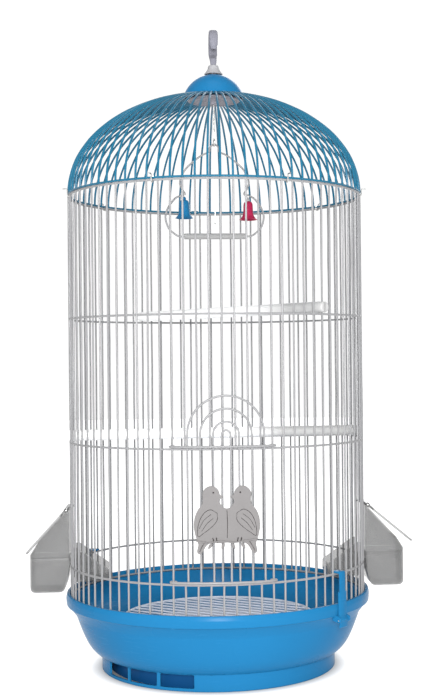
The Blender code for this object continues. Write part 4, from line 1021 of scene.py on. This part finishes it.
def foot_wall():
    """The ring under the basin that is seen through the windows."""
    inside = INNER_FOOT_RADIUS - TRAY_WALL
    low = 0.0012
    top = TRAY_FLOOR - 0.0010
    return [(inside, low), (INNER_FOOT_RADIUS, low), (INNER_FOOT_RADIUS, top), (inside, top)]


basin = turned("blue_basin", tray_section(), 200, TRAY_BLUE)
# Its darker blue is painted shade.
inner_foot = turned("inner_foot", foot_wall(), 160, SHADED_INNER_BLUE)
basin = cut_out(basin, [window_cutter(azimuth) for azimuth in WINDOW_AZIMUTHS])
print(len(WINDOW_AZIMUTHS), "windows in the foot")

# %% [markdown]
# ## The latches
#
# Two blue straps pivot between ears on the tray's flange and snap over the second hoop. The CAD
# solids already have their shape, so a copy is welded, its flat faces are joined again, and its
# edges are broken with a small bevel, which is what makes plastic look moulded.

# %% Softened copies of CAD solids
BEVEL_ANGLE = radians(30.0)


def softened(node, name, edge, finish):
    """A copy of a CAD solid with rounded edges."""
    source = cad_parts[node]
    mesh = source.data.copy()
    mesh.transform(source.matrix_world)
    shape = bmesh.new()
    shape.from_mesh(mesh)
    bmesh.ops.remove_doubles(shape, verts=shape.verts, dist=0.00002)
    bmesh.ops.dissolve_limit(shape, angle_limit=radians(1.0), verts=shape.verts, edges=shape.edges)
    shape.to_mesh(mesh)
    shape.free()
    piece = keep(name, mesh, finish)
    bevel = piece.modifiers.new("edge", "BEVEL")
    bevel.width = edge
    bevel.segments = 2
    bevel.limit_method = "ANGLE"
    bevel.angle_limit = BEVEL_ANGLE
    return settle(piece, finish)


for side in ("right", "left"):
    latch = "latch_" + side
    pin = "latch_pin_" + side
    seat(softened(latch, side + "_strap", 0.00035, TRAY_BLUE), side + "_latch", "blue_plastic", latch)
    seat(softened(pin, side + "_strap_pin", 0.00015, STEEL), "cage", "plain_steel", pin)

# %% [markdown]
# The latches' pins sit between pairs of ears that are part of the tray. They are drawn as side views
# and given their thickness, then joined to the basin.

# %% Ears of the tray
LATCH_AZIMUTHS = (47.25, -119.25)
LATCH_WIDTH = 0.0126
EAR_WIDTH = 0.0030
EAR_REACH = 0.0024
PIN_HEIGHT = 0.0690
PIN_RING = 0.1725


def make_ear(azimuth, side):
    root = RIM_RADIUS - 0.0050
    tip = PIN_RING + EAR_REACH
    low = PIN_HEIGHT - EAR_REACH
    corners = [(root, PIN_HEIGHT + 0.0036), (root, PIN_HEIGHT - 0.0010), (PIN_RING - 0.0010, low),
               (tip, low), (tip, PIN_HEIGHT + EAR_REACH), (RIM_RADIUS - 0.0008, PIN_HEIGHT + 0.0052)]
    lug = plate("ear", rounded(corners, 0.0014), EAR_WIDTH, TRAY_BLUE, 0.0003)
    out = shift(y=side * (LATCH_WIDTH + EAR_WIDTH) / 2) @ UPRIGHT
    return moved(lug, spin(radians(azimuth) - pi / 2) @ out)


ears = [make_ear(azimuth, side) for azimuth in LATCH_AZIMUTHS for side in (-1, 1)]
seat(gather("blue_tray", [basin, inner_foot, *ears]), "cage", "blue_plastic", "tray")

# %% [markdown]
# ## The floor
#
# A round card lies on the tray's floor. Over it stands a grille: parallel bars welded inside one
# ring, on four short legs.

# %% Liner and grille
CARD_RADIUS = 0.0800
GRILLE_RADIUS = 0.1070
GRILLE_HEIGHT = 0.0540
BAR_PITCH = 0.0130
BAR = 0.0011
GRILLE_TURN = radians(-35.0)
LEG = 0.0013


def make_liner():
    low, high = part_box("floor_liner")
    edge = 0.0002
    section = [(0.0, high.z), (CARD_RADIUS * 0.5, high.z), (CARD_RADIUS - edge, high.z),
               (CARD_RADIUS, high.z - edge), (CARD_RADIUS, low.z + edge), (CARD_RADIUS - edge, low.z),
               (0.0, low.z)]
    return turned("card_liner", section, 96, CARD)


def make_grille():
    count = 2 * int(GRILLE_RADIUS / BAR_PITCH) + 1
    bars = RING_BARS.make("grille_bars", ORIGIN, GRILLE_PAINT_BLUE_BOUNCE, Count=count, Step=BAR_PITCH,
                          Radius=GRILLE_RADIUS, Thickness=BAR)
    moved(bars, shift(z=GRILLE_HEIGHT) @ spin(GRILLE_TURN))
    ring = wire("grille_ring", ring_line(GRILLE_RADIUS, GRILLE_HEIGHT), BAR * 1.15, GRILLE_PAINT_BLUE_BOUNCE, 3, True)
    legs = []
    for azimuth in (pi / 4, 3 * pi / 4, 5 * pi / 4, 7 * pi / 4):
        ends = [around(azimuth, GRILLE_RADIUS, height) for height in (TRAY_FLOOR + GAP, GRILLE_HEIGHT)]
        legs.append(wire("leg", ends, LEG, GRILLE_PAINT_BLUE_BOUNCE))
    return gather("white_grille", [bars, ring, *legs])


seat(make_liner(), "cage", "liner_paper", "floor_liner")
seat(make_grille(), "cage", "white_painted_wire", "floor_grille")

# %% [markdown]
# ## The clips
#
# Thin wire clips hold the dome on the wall. Each one runs down inside, under the hoop, up outside,
# and ends in a stub that sticks out. One at the back is longer and hangs down in a loop. A crimped
# sleeve closes the dome's ring.

# %% Clips and sleeve
CLIP_WIRE = 0.00075
CLIP_PITCHES = (5.5, 17.5, 28.5, -5.5, -17.5, -28.5, 39.5)
CLIP_SIDE = WIRE + CLIP_WIRE + GAP
CLIP_TOP = DOME_RING + WIRE + 0.0010
CLIP_CURL = 0.0018
CLIP_REACH = 0.0075
LOOP_DROP = 0.0095


def clip_line(drop, tail):
    """A clip seen from the side, as radius and height."""
    low = TOP_HOOP - drop
    outside = RING + CLIP_SIDE
    line = [(RING - CLIP_SIDE, CLIP_TOP), (RING - CLIP_SIDE, low)]
    line += arc((RING, low), CLIP_SIDE, -165, -15, 8) + [(outside, CLIP_TOP)]
    if tail:
        line += arc((outside + CLIP_CURL, CLIP_TOP), CLIP_CURL, 165, 90, 4)
        line += [(RING + CLIP_REACH, CLIP_TOP + CLIP_CURL)]
    return line


def make_clip(number, pitch):
    hanging = pitch == CLIP_PITCHES[-1]
    line = clip_line(LOOP_DROP, False) if hanging else clip_line(0.0, True)
    points = [around(pitch * PITCH, radius, height) for radius, height in line]
    return wire("wire_clip_%d" % number, points, CLIP_WIRE, STEEL, 3)


for number, pitch in enumerate(CLIP_PITCHES, 1):
    seat(make_clip(number, pitch), "cage", "plain_steel", "dome_clip_%d" % number)


SLEEVE_PITCH = 41.5
SLEEVE_LENGTH = 0.0085
SLEEVE_RADIUS = 0.0021
SLEEVE_PINCH = (0.86, 1.0, 1.0, 0.93, 0.88, 0.86, 0.88, 0.93, 1.0, 1.0, 0.86)


def make_sleeve():
    middle = SLEEVE_PITCH * PITCH
    line = [around(middle + (i / 10 - 0.5) * SLEEVE_LENGTH / RING, RING, DOME_RING + 0.0002)
            for i in range(11)]
    return wire("ring_sleeve", line, SLEEVE_RADIUS, DOME_PAINT, radii=SLEEVE_PINCH)


seat(make_sleeve(), "cage", "blue_painted_wire", "ring_crimp")

# %% [markdown]
# ## The sliding door
#
# Four arches, one inside the other, are welded behind two cross rods. The rods' ends curl round
# the wires beside the opening, so the door can only slide up. All of it follows the wall's curve.

# %% Door
DOOR_WIRE = 0.00105
DOOR_ROD = 0.00125
DOOR_GAP = 0.0004
DOOR_RING = RING + WIRE + DOOR_GAP + DOOR_WIRE
ROD_RING = DOOR_RING + DOOR_WIRE + DOOR_ROD - 0.0006
ROD_LIFT = WIRE + DOOR_GAP + DOOR_ROD
ARCHES = (3.0, 2.0, 1.0, 0.34)
DOOR_LEAN = spin(radians(1.1))


def arch_line(pitches):
    """An upside-down U on the door's cylinder."""
    half = pitches * PITCH
    spring = DOOR_HOOP + ROD_LIFT + 0.012
    low = LATCH_HOOP + ROD_LIFT - DOOR_ROD
    line = [around(-half, DOOR_RING, low + (spring - low) * i / 12) for i in range(12)]
    steps = 28 if pitches > 0.5 else 14
    for i in range(steps + 1):
        turn = pi - pi * i / steps
        line.append(around(half * cos(turn), DOOR_RING, spring + half * DOOR_RING * sin(turn)))
    return line + [around(half, DOOR_RING, spring + (low - spring) * i / 12) for i in range(1, 13)]


def rod_line(height):
    """A cross rod whose ends curl round the guide wires."""
    guide = DOOR_HALF * PITCH
    half = [around(guide * 0.86 * i / 10, ROD_RING, height) for i in range(11)]
    out = around(guide, 1.0)
    side = Vector((-out.y, out.x, 0.0))
    for turn in map(radians, range(60, -221, -14)):
        half.append(around(guide, RING, height) + ROD_LIFT * (out * sin(turn) + side * cos(turn)))
    return both_halves(half)


pieces = [moved(wire("arch", arch_line(pitches), DOOR_WIRE, WHITE_PAINT), DOOR_LEAN) for pitches in ARCHES]
for height in (LATCH_HOOP, DOOR_HOOP):
    pieces.append(wire("rod", rod_line(height + ROD_LIFT), DOOR_ROD, WHITE_PAINT))
seat(gather("door_wires", pieces), "front_door", "white_painted_wire", "door")

# %% [markdown]
# ## The ornament on the door
#
# A flat white plate, cut in the shape of two birds that face each other on a twig. Wings and leaves
# are low relief: outlines with some thickness and rounded edges. Feathers and feet are dark lines.
# One bird is written down, in millimetres from the plate's middle and its lower edge, and mirrored.

# %% Outlines of the picture
plate_low, plate_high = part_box("door_plate")
PLATE_FRONT = plate_low.y
PLATE_BOTTOM = plate_low.z
PLATE_THICK = plate_high.y - plate_low.y
MM = 0.001
BIRD = ((0.0, 13.5), (7.0, 13.0), (15.0, 13.4), (20.5, 11.0), (25.0, 4.0), (28.0, 2.3), (30.2, 5.0),
        (29.0, 12.0), (31.5, 20.0), (33.2, 29.0), (32.6, 38.0), (29.5, 46.0), (25.2, 51.5), (24.2, 57.0),
        (24.6, 63.0), (21.5, 68.0), (16.5, 70.3), (11.2, 69.0), (7.8, 65.0), (6.8, 61.5), (3.2, 59.0),
        (6.4, 57.2), (6.8, 53.0), (3.6, 49.0), (0.0, 47.6))
WING = ((10.0, 43.0), (17.0, 46.5), (24.0, 42.0), (28.6, 32.0), (29.2, 20.5), (23.5, 23.5),
        (15.5, 29.5), (10.2, 36.0))
FEATHERS = (((14.0, 38.0), (20.0, 33.0), (25.5, 25.5)), ((16.0, 42.0), (23.0, 36.5), (28.0, 28.0)),
            ((22.0, 15.0), (25.5, 9.5), (27.8, 4.6)))
LEGS = (11.0, 14.5)
EYE = (13.5, 63.6)
LEAF = ((0.0, 0.0), (2.0, 1.5), (4.6, 1.3), (7.0, 0.0), (4.6, -1.3), (2.0, -1.5))
TWIG = ((-31.0, 15.8), (-20.0, 13.6), (-8.0, 15.2), (6.0, 13.8), (18.0, 15.0), (31.0, 16.6))
LEAVES = ((-15.0, 13.0, 235.0), (-3.0, 13.4, 250.0), (4.5, 13.0, 300.0), (14.5, 13.2, -60.0))

print(len(BIRD), "points for a bird")


# %% The plate with its relief
def on_plate(piece, height=0.0):
    """Stands a flat shape up on the plate's front."""
    return moved(piece, shift(0.0, PLATE_FRONT - height, PLATE_BOTTOM) @ UPRIGHT)


def relief(name, points, thickness, mirror=1, lift=0.0):
    outline = [(mirror * x * MM, y * MM) for x, y in flowing(points)]
    shape = plate(name, outline, thickness, PLATE_WHITE, min(0.0004, thickness * 0.4))
    return on_plate(shape, thickness / 2 + lift - 0.0001)


def drawn_line(points, radius, mirror=1, lift=0.0, finish=PLATE_DARK):
    line = [(mirror * x * MM, y * MM, 0.0) for x, y in smooth_line(points, 6)]
    return on_plate(wire("line", line, radius, finish, 3), lift)


def make_bird(side):
    parts = [relief("bird_wing", WING, 0.0006, side),
             drawn_line([*WING, WING[0]], 0.00034, side, 0.0002)]
    parts += [drawn_line(points, 0.00026, side, 0.0004) for points in FEATHERS]
    for x in LEGS:
        parts.append(drawn_line(((x, 18.6), (x - 0.6, 16.0), (x - 1.4, 13.6)), 0.00045, side, 0.0004))
    dot = turned("eye", [(0.0, 0.0005), (0.0006, 0.0004), (0.0009, 0.0), (0.0, 0.0)], 12, PLATE_DARK)
    return [*parts, on_plate(moved(dot, shift(side * EYE[0] * MM, EYE[1] * MM)))]


def make_leaf(x, z, degree):
    turn = Matrix.Rotation(radians(degree), 2)
    points = [Vector((x, z)) + turn @ Vector(point) for point in LEAF]
    return relief("leaf", points, PLATE_THICK, lift=-PLATE_THICK)


def make_ornament():
    pair = [(x * MM, z * MM) for x, z in (*BIRD, *[(-x, z) for x, z in reversed(BIRD[1:-1])])]
    base = plate("base", flowing(pair, 4), PLATE_THICK, PLATE_WHITE, 0.0004)
    parts = [on_plate(base, -PLATE_THICK / 2), drawn_line(TWIG, 0.00085, 1, 0.0002, PLATE_WHITE),
             drawn_line(((0.0, 46.0), (0.4, 32.0), (0.0, 18.0)), 0.00030)]
    parts += make_bird(-1) + make_bird(1)
    parts += [make_leaf(*leaf) for leaf in LEAVES]
    return moved(gather("bird_ornament", parts), DOOR_LEAN)


seat(make_ornament(), "front_door", "white_plastic", "door_plate")

# %% [markdown]
# ## The perches
#
# Two plastic rods cross the cage. Each end has a slot that straddles a wall wire and rests
# on a hoop. Shallow grooves run along them, which give a bird something to grip.

# %% Perches
PERCH = 0.0060
SLOT_DEPTH = 0.0090
SLOT_WIDTH = 0.0036
PERCH_OVERHANG = 0.0045
BAR_SIDES = 48
GROOVE_SHARE = 0.035


def perch_line(hoop, pitches):
    height = hoop + WIRE + GAP + PERCH
    first, second = (around(pitch * PITCH, RING, height) for pitch in pitches)
    along = (second - first).normalized()
    return first - along * PERCH_OVERHANG, second + along * PERCH_OVERHANG, along


def fluted_bar(name, length, radius, finish, flutes):
    """A bar along X with rounded ends and shallow grooves."""
    ends = ((0.0, 0.80), (0.0006, 0.94), (0.0016, 1.0))
    places = [*ends, *[(length * i / 24, 1.0) for i in range(1, 24)]]
    places += [(length - x, size) for x, size in reversed(ends)]
    turns = [2 * pi * k / BAR_SIDES for k in range(BAR_SIDES)]
    rings = []
    for x, size in places:
        reaches = [radius * size * (1 - GROOVE_SHARE * max(0.0, cos(t * flutes))) for t in turns]
        rings.append([(x, reach * cos(t), reach * sin(t)) for reach, t in zip(reaches, turns)])
    return skinned(name, rings, finish)


def make_perch(name, hoop, pitches):
    start, end, along = perch_line(hoop, pitches)
    length = (end - start).length
    half = SLOT_DEPTH / 2 + 0.001
    side = SLOT_WIDTH / 2
    outline = rounded([(-half, -side), (half, -side), (half, side), (-half, side)], SLOT_WIDTH / 2.2)
    inset = SLOT_DEPTH / 2 - 0.001
    slots = [moved(plate("slot", outline, 3 * PERCH, PERCH_WHITE), shift(middle))
             for middle in (inset, length - inset)]
    bar = cut_out(fluted_bar(name, length, PERCH, PERCH_WHITE, 6), slots)
    return moved(bar, shift(*start) @ spin(atan2(along.y, along.x)))


seat(make_perch("long_upper_perch", PERCH_HOOP, (9, -33)), "cage", "white_plastic", "upper_perch")
seat(make_perch("long_lower_perch", DOOR_HOOP, (21, -19)), "cage", "white_plastic", "lower_perch")

# %% [markdown]
# ## The swing
#
# A hook under the disc carries a bent wire frame. From its apex the wire runs down to a shoulder,
# in to a neck, and out round a loop on either side to the perch's ends.

# %% Swing
SWING_WIRE = 0.00105
SWING_HALF = 0.0556
SWING_EYE = 0.0042
SWING_FALL = 0.1050
SWING_BAR = 0.0033
SWING_BAR_LENGTH = 0.0700
SWING_HOOK_LENGTH = 0.0500
SWING_HOOK_STRAIGHT = 0.0415
WAIST = ((0.30, 0.86), (0.58, 0.73), (0.70, 0.60), (0.67, 0.52))
SIDE_LOOP = ((0.605, 0.46), (0.66, 0.44), (0.78, 0.42), (0.90, 0.35), (0.98, 0.27), (1.0, 0.19),
             (0.94, 0.09), (0.80, 0.02))
HOOK_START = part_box("hub_disc")[0].z - GAP
EYE_HEIGHT = HOOK_START - SWING_HOOK_LENGTH + SWING_EYE
APEX = EYE_HEIGHT - SWING_EYE + 2 * SWING_WIRE + GAP
PERCH_LINE = APEX - SWING_FALL


def make_swing_hook():
    line = [(0.0, 0.0, HOOK_START - SWING_HOOK_STRAIGHT * i / 10) for i in range(10)]
    line += [(0.0, y, z) for y, z in arc((0.0, EYE_HEIGHT), SWING_EYE, 80, -215, 26)]
    return wire("swing_hook_wire", line, SWING_WIRE, STEEL)


def make_swing_frame():
    half = [(0.0, APEX), (0.0045, APEX - 0.0035), (0.0060, APEX - 0.0090)]
    half += [(SWING_HALF * x, PERCH_LINE + SWING_FALL * z) for x, z in WAIST + SIDE_LOOP]
    half += [(0.0395, PERCH_LINE), (0.0353, PERCH_LINE)]
    return wire("swing_wire", both_halves(smooth_line([(x, 0.0, z) for x, z in half], 5)), SWING_WIRE,
                WHITE_PAINT)


def make_swing_bar():
    bar = fluted_bar("swing_bar", SWING_BAR_LENGTH, SWING_BAR, PERCH_GREY, 5)
    return moved(bar, shift(-SWING_BAR_LENGTH / 2, 0.0, PERCH_LINE))


seat(make_swing_hook(), "cage", "plain_steel", "swing_hook")
seat(make_swing_frame(), "swing", "white_painted_wire", "swing_frame")
seat(make_swing_bar(), "swing", "white_plastic", "swing_perch")

# %% [markdown]
# ## The bells
#
# Each bell hangs from the swing's wire by a small ring, with a bead between. The bell is a thin
# turned shell with a waist and a flared lip. Its clapper hangs inside on a short stem. The bells hang
# where the photograph has them, which isn't quite the same distance to the left and to the right.

# %% Bells
BELL_RADIUS = 0.0104
BELL_HEIGHT = 0.0205
BELL_WALL = 0.0009
BELL_RING = 0.0027
BELL_RING_WIRE = 0.0006
BEAD = 0.0022
BLUE_X = -0.0345
PINK_X = 0.0380
BELL_SHAPE = ((0.0, 0.0), (0.28, 0.0), (0.43, 0.06), (0.51, 0.20), (0.54, 0.59), (0.65, 0.80),
              (0.90, 0.965), (1.0, 1.0))


def wire_height(x):
    """Height of the swing's wire over a bell."""
    line = [(SWING_HALF * a, PERCH_LINE + SWING_FALL * b) for a, b in SIDE_LOOP]
    for (x0, z0), (x1, z1) in zip(line, line[1:]):
        if x0 <= x <= x1:
            return z0 + (z1 - z0) * (x - x0) / (x1 - x0)


def bell_section(top):
    line = smooth_line([(BELL_RADIUS * r, top - BELL_HEIGHT * drop) for r, drop in BELL_SHAPE], 4)
    outer = [(max(0.0, r), min(top, z)) for r, z in line]
    outer[0] = (0.0, top)
    lip = (BELL_RADIUS - BELL_WALL * 0.5, top - BELL_HEIGHT - 0.0001)
    inner = [(r - BELL_WALL, z - BELL_WALL * 0.4) for r, z in reversed(outer) if r > BELL_WALL * 3]
    return [*outer, lip, *inner, (0.0, top - 0.0014)]


def make_bell(name, x, finish, bead_finish):
    hang = wire_height(abs(x))
    slack = BELL_RING - BELL_RING_WIRE - SWING_WIRE - GAP
    bead = hang - slack - BELL_RING - BEAD + 0.0007
    crown = bead - BEAD + 0.0007
    shell = turned("shell", bell_section(crown), 48, finish)
    ball = [(0.0, bead - BEAD), *arc((0.0, bead), BEAD, -80, 80, 16), (0.0, bead + BEAD)]
    knob = turned("bead", ball, 24, bead_finish, closed=False)
    loop = [(0.0, y, z) for y, z in arc((0.0, hang - slack), BELL_RING, 0, 345, 23)]
    parts = [shell, knob, wire("loop", loop, BELL_RING_WIRE, STEEL, 3, True)]
    return moved(gather(name, parts), shift(x))


def make_clapper(name, node, x):
    low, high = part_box(node)
    stem = 0.0007
    ball = 0.0024
    middle = low.z + ball
    section = [(0.0, high.z), (stem, high.z), (stem, middle + ball * 0.95),
               *arc((0.0, middle), ball, 70, -80, 10), (0.0, low.z)]
    return moved(turned(name, section, 20, STEEL), shift(x))


BELLS = {"blue": (BLUE_X, BELL_BLUE, BELL_BLUE), "pink": (PINK_X, BELL_PINK, WHITE_PLASTIC)}
for colour, look in BELLS.items():
    bell = make_bell(colour + "_hanging_bell", *look)
    seat(bell, colour + "_bell", colour + "_plastic", "bell_" + colour)
for colour, look in BELLS.items():
    clapper = make_clapper(colour + "_bell_clapper", "clapper_" + colour, look[0])
    seat(clapper, colour + "_clapper", "plain_steel", "clapper_" + colour)

# %% [markdown]
# ## The feeders
#
# Each feeder is a see-through cup that reaches into the cage as a shallow trough, a hood above it,
# and a flap on a steel pin. They are drawn as side views at the right side, after the photograph,
# and turned to the left. The hinge is where the frame has it. The right flap stands a little open.

# %% Side views of a cup
FEEDER_WIDTH = 0.0440
FEEDER_WALL = 0.0015
BACK = RING + WIRE + GAP
CUP_REACH = 0.0425
CUP_DEPTH = 0.0380
RIM_LIFT = 0.0078
TROUGH_REACH = 0.0400
TROUGH_DEPTH = 0.0210
FRONT = BACK + CUP_REACH
SADDLE = LATCH_HOOP + WIRE + GAP
CUP_RIM = SADDLE + RIM_LIFT
CUP_FLOOR = CUP_RIM - CUP_DEPTH
INNER = sqrt((RING - WIRE - GAP) ** 2 - (FEEDER_WIDTH / 2) ** 2)
TIP = INNER - TROUGH_REACH
LOW = SADDLE + FEEDER_WALL - TROUGH_DEPTH
INSIDE_WIDTH = FEEDER_WIDTH - 2 * FEEDER_WALL


def side_view(name, corners, radius, width, edge=0.0, holes=()):
    """A see-through shape drawn from the side, as X and Z, and given its width along Y."""
    return moved(plate(name, rounded(corners, radius), width, CLEAR, edge, holes), UPRIGHT)


def cup_outside():
    top = SADDLE + FEEDER_WALL
    wing = [(INNER, top), (INNER, top + 0.0161, 0.0012), (INNER - 0.0040, top + 0.0176)]
    trough = [(TIP, LOW + 0.0135), (TIP, LOW + 0.0018), (INNER - 0.0022, LOW, 0.004),
              (INNER, SADDLE, 0.0003)]
    cup = [(BACK, SADDLE, 0.0003), (BACK + 0.0012, CUP_FLOOR + 0.0160, 0.004),
           (BACK + 0.0060, CUP_FLOOR, 0.005), (FRONT, CUP_FLOOR, 0.006), (FRONT, CUP_RIM, 0.0003)]
    return [(BACK, CUP_RIM, 0.0003), (BACK, top, 0.0003)] + wing + trough + cup


def cup_space():
    back = BACK + FEEDER_WALL
    front = FRONT - FEEDER_WALL
    floor = CUP_FLOOR + FEEDER_WALL
    return [(back, CUP_RIM + 0.004), (BACK + 0.0027, CUP_FLOOR + 0.0160, 0.004),
            (BACK + 0.0072, floor, 0.004), (front, floor, 0.0048), (front, CUP_RIM + 0.004)]


def trough_space():
    far = TIP + FEEDER_WALL
    near = INNER - FEEDER_WALL
    low = LOW + FEEDER_WALL
    over = SADDLE + FEEDER_WALL + GAP
    return [(far, SADDLE + 0.040), (far, low + 0.0015), (near - 0.0022, low, 0.004), (near, SADDLE, 0.001),
            (near, over, 0.0002), (INNER + 0.0010, over), (INNER + 0.0010, SADDLE + 0.040)]


def make_cup():
    cup = side_view("cup", cup_outside(), 0.0022, FEEDER_WIDTH, 0.0005)
    return cut_out(cup, [side_view("space", cup_space(), 0.003, INSIDE_WIDTH),
                         side_view("trough", trough_space(), 0.002, INSIDE_WIDTH)])


print("feeder from", round(TIP, 4), "to", round(FRONT, 4))


# %% Hood and flap
PIN = 0.0011
BARREL = 0.0026
HINGE = Vector((BACK + BARREL + 0.0004, FEEDER_RAIL - WIRE + 0.0004))
HOOD_BASE = CUP_RIM + GAP
SLOPE_TOP = Vector((BACK + 0.0042, FEEDER_RAIL - WIRE - BARREL))
SHOULDER = Vector((FRONT - 0.0074, HOOD_BASE + 0.0154))
SLOPE = (SHOULDER - SLOPE_TOP).normalized()
NORMAL = Vector((-SLOPE.y, SLOPE.x))
FLAP = 0.0022
AJAR = {"right": radians(7.5), "left": 0.0}


def make_hood():
    ear = [(x, z, 0.0001) for x, z in arc(HINGE, BARREL, -20, 160, 8)]
    outside = [(BACK, HOOD_BASE, 0.0003), (FRONT, HOOD_BASE, 0.0003), (FRONT, HOOD_BASE + 0.0037),
               SHOULDER, SLOPE_TOP, *ear, (BACK, HINGE.y - BARREL)]
    front = FRONT - FEEDER_WALL
    wall = SHOULDER.x - FEEDER_WALL / 2
    low = HOOD_BASE - 0.004
    top = HINGE.y + 0.006
    space = [(BACK - 0.006, low), (front, low), (front, HOOD_BASE + 0.0037), (wall, SHOULDER.y),
             (wall, top), (BACK - 0.006, top)]
    hood = side_view("hood", outside, 0.0008, FEEDER_WIDTH, 0.0004)
    return cut_out(hood, [side_view("space", space, 0.0004, INSIDE_WIDTH)])


def make_flap(angle):
    near = SLOPE_TOP + NORMAL * GAP + SLOPE * 0.0040
    far = SHOULDER + NORMAL * GAP + SLOPE * 0.0155
    corners = [near, far, far + NORMAL * FLAP, near + NORMAL * FLAP]
    leaf = side_view("leaf", corners, 0.0006, FEEDER_WIDTH + 0.0024, 0.0004)
    hole = arc(HINGE, PIN + GAP, 0, 345, 23)
    tube = [(x, z, 0.0001) for x, z in arc(HINGE, BARREL, 0, 345, 23)]
    barrel = side_view("barrel", tube, 0.0, INSIDE_WIDTH - 0.0006, holes=[hole])
    web = [near + SLOPE * FLAP, near + (SLOPE + NORMAL) * FLAP, HINGE + NORMAL * BARREL * 0.7,
           HINGE + SLOPE * BARREL * 0.7]
    link = side_view("web", web, 0.0001, INSIDE_WIDTH - 0.0009)
    lift = shift(HINGE.x, 0.0, HINGE.y) @ spin(-angle, "Y") @ shift(-HINGE.x, 0.0, -HINGE.y)
    return moved(gather("flap", [leaf, barrel, link]), lift)


print("flaps turn about a pin at radius", round(HINGE.x, 4), "and height", round(HINGE.y, 4))


# %% The feeders' pieces on both sides
def on_side(piece, name, side):
    if side == "left":
        moved(piece, spin(pi))
    piece.name = side + "_" + name
    return piece


for side in ("right", "left"):
    pin = "feeder_pin_" + side
    seat(on_side(make_cup(), "clear_cup", side), "cage", "clear_plastic", "feeder_cup_" + side)
    seat(on_side(make_hood(), "clear_hood", side), "cage", "clear_plastic", "feeder_hood_" + side)
    flap = on_side(make_flap(AJAR[side]), "clear_flap", side)
    seat(flap, side + "_lid", "clear_plastic", "feeder_lid_" + side)
    seat(softened(pin, side + "_flap_pin", 0.0002, STEEL), "cage", "plain_steel", pin)

# %% [markdown]
# ## The floor of the studio and the closing step
#
# A large pale floor catches the soft shadow. It glows like a light table, so it runs into the white
# behind it without an edge. Its glow is cut out under the foot and dimmed close to it: a painted shadow.

# %% Studio floor
STUDIO_GLOW = 1.10
FOOT_SHADE = (0.125, 0.145)
GLOW_EDGE = (0.35, 1.6)
STUDIO = Finish("studio_floor", Roughness=1.0, Specular_IOR_Level=0.0, Emission_Strength=STUDIO_GLOW)
STUDIO.set(Base_Color=STUDIO.blend(STUDIO.noise(1.5), grey(0.34), grey(0.37)))
away = STUDIO.node("VectorMath", {0: STUDIO.place()}, 1, operation="LENGTH")
# Painted shadow: no glow under the foot, and a dimmer glow close to it.
near = STUDIO.blend(STUDIO.sharpen(away, *FOOT_SHADE), grey(0.0), grey(0.78))
STUDIO.set(Emission_Color=STUDIO.blend(STUDIO.sharpen(away, *GLOW_EDGE), near, grey(1.0)))


def make_studio_floor():
    shape = bmesh.new()
    bmesh.ops.create_circle(shape, cap_ends=True, radius=6.0, segments=64)
    return from_bmesh("studio_floor", shape, STUDIO.material)


make_studio_floor()
print("studio floor")
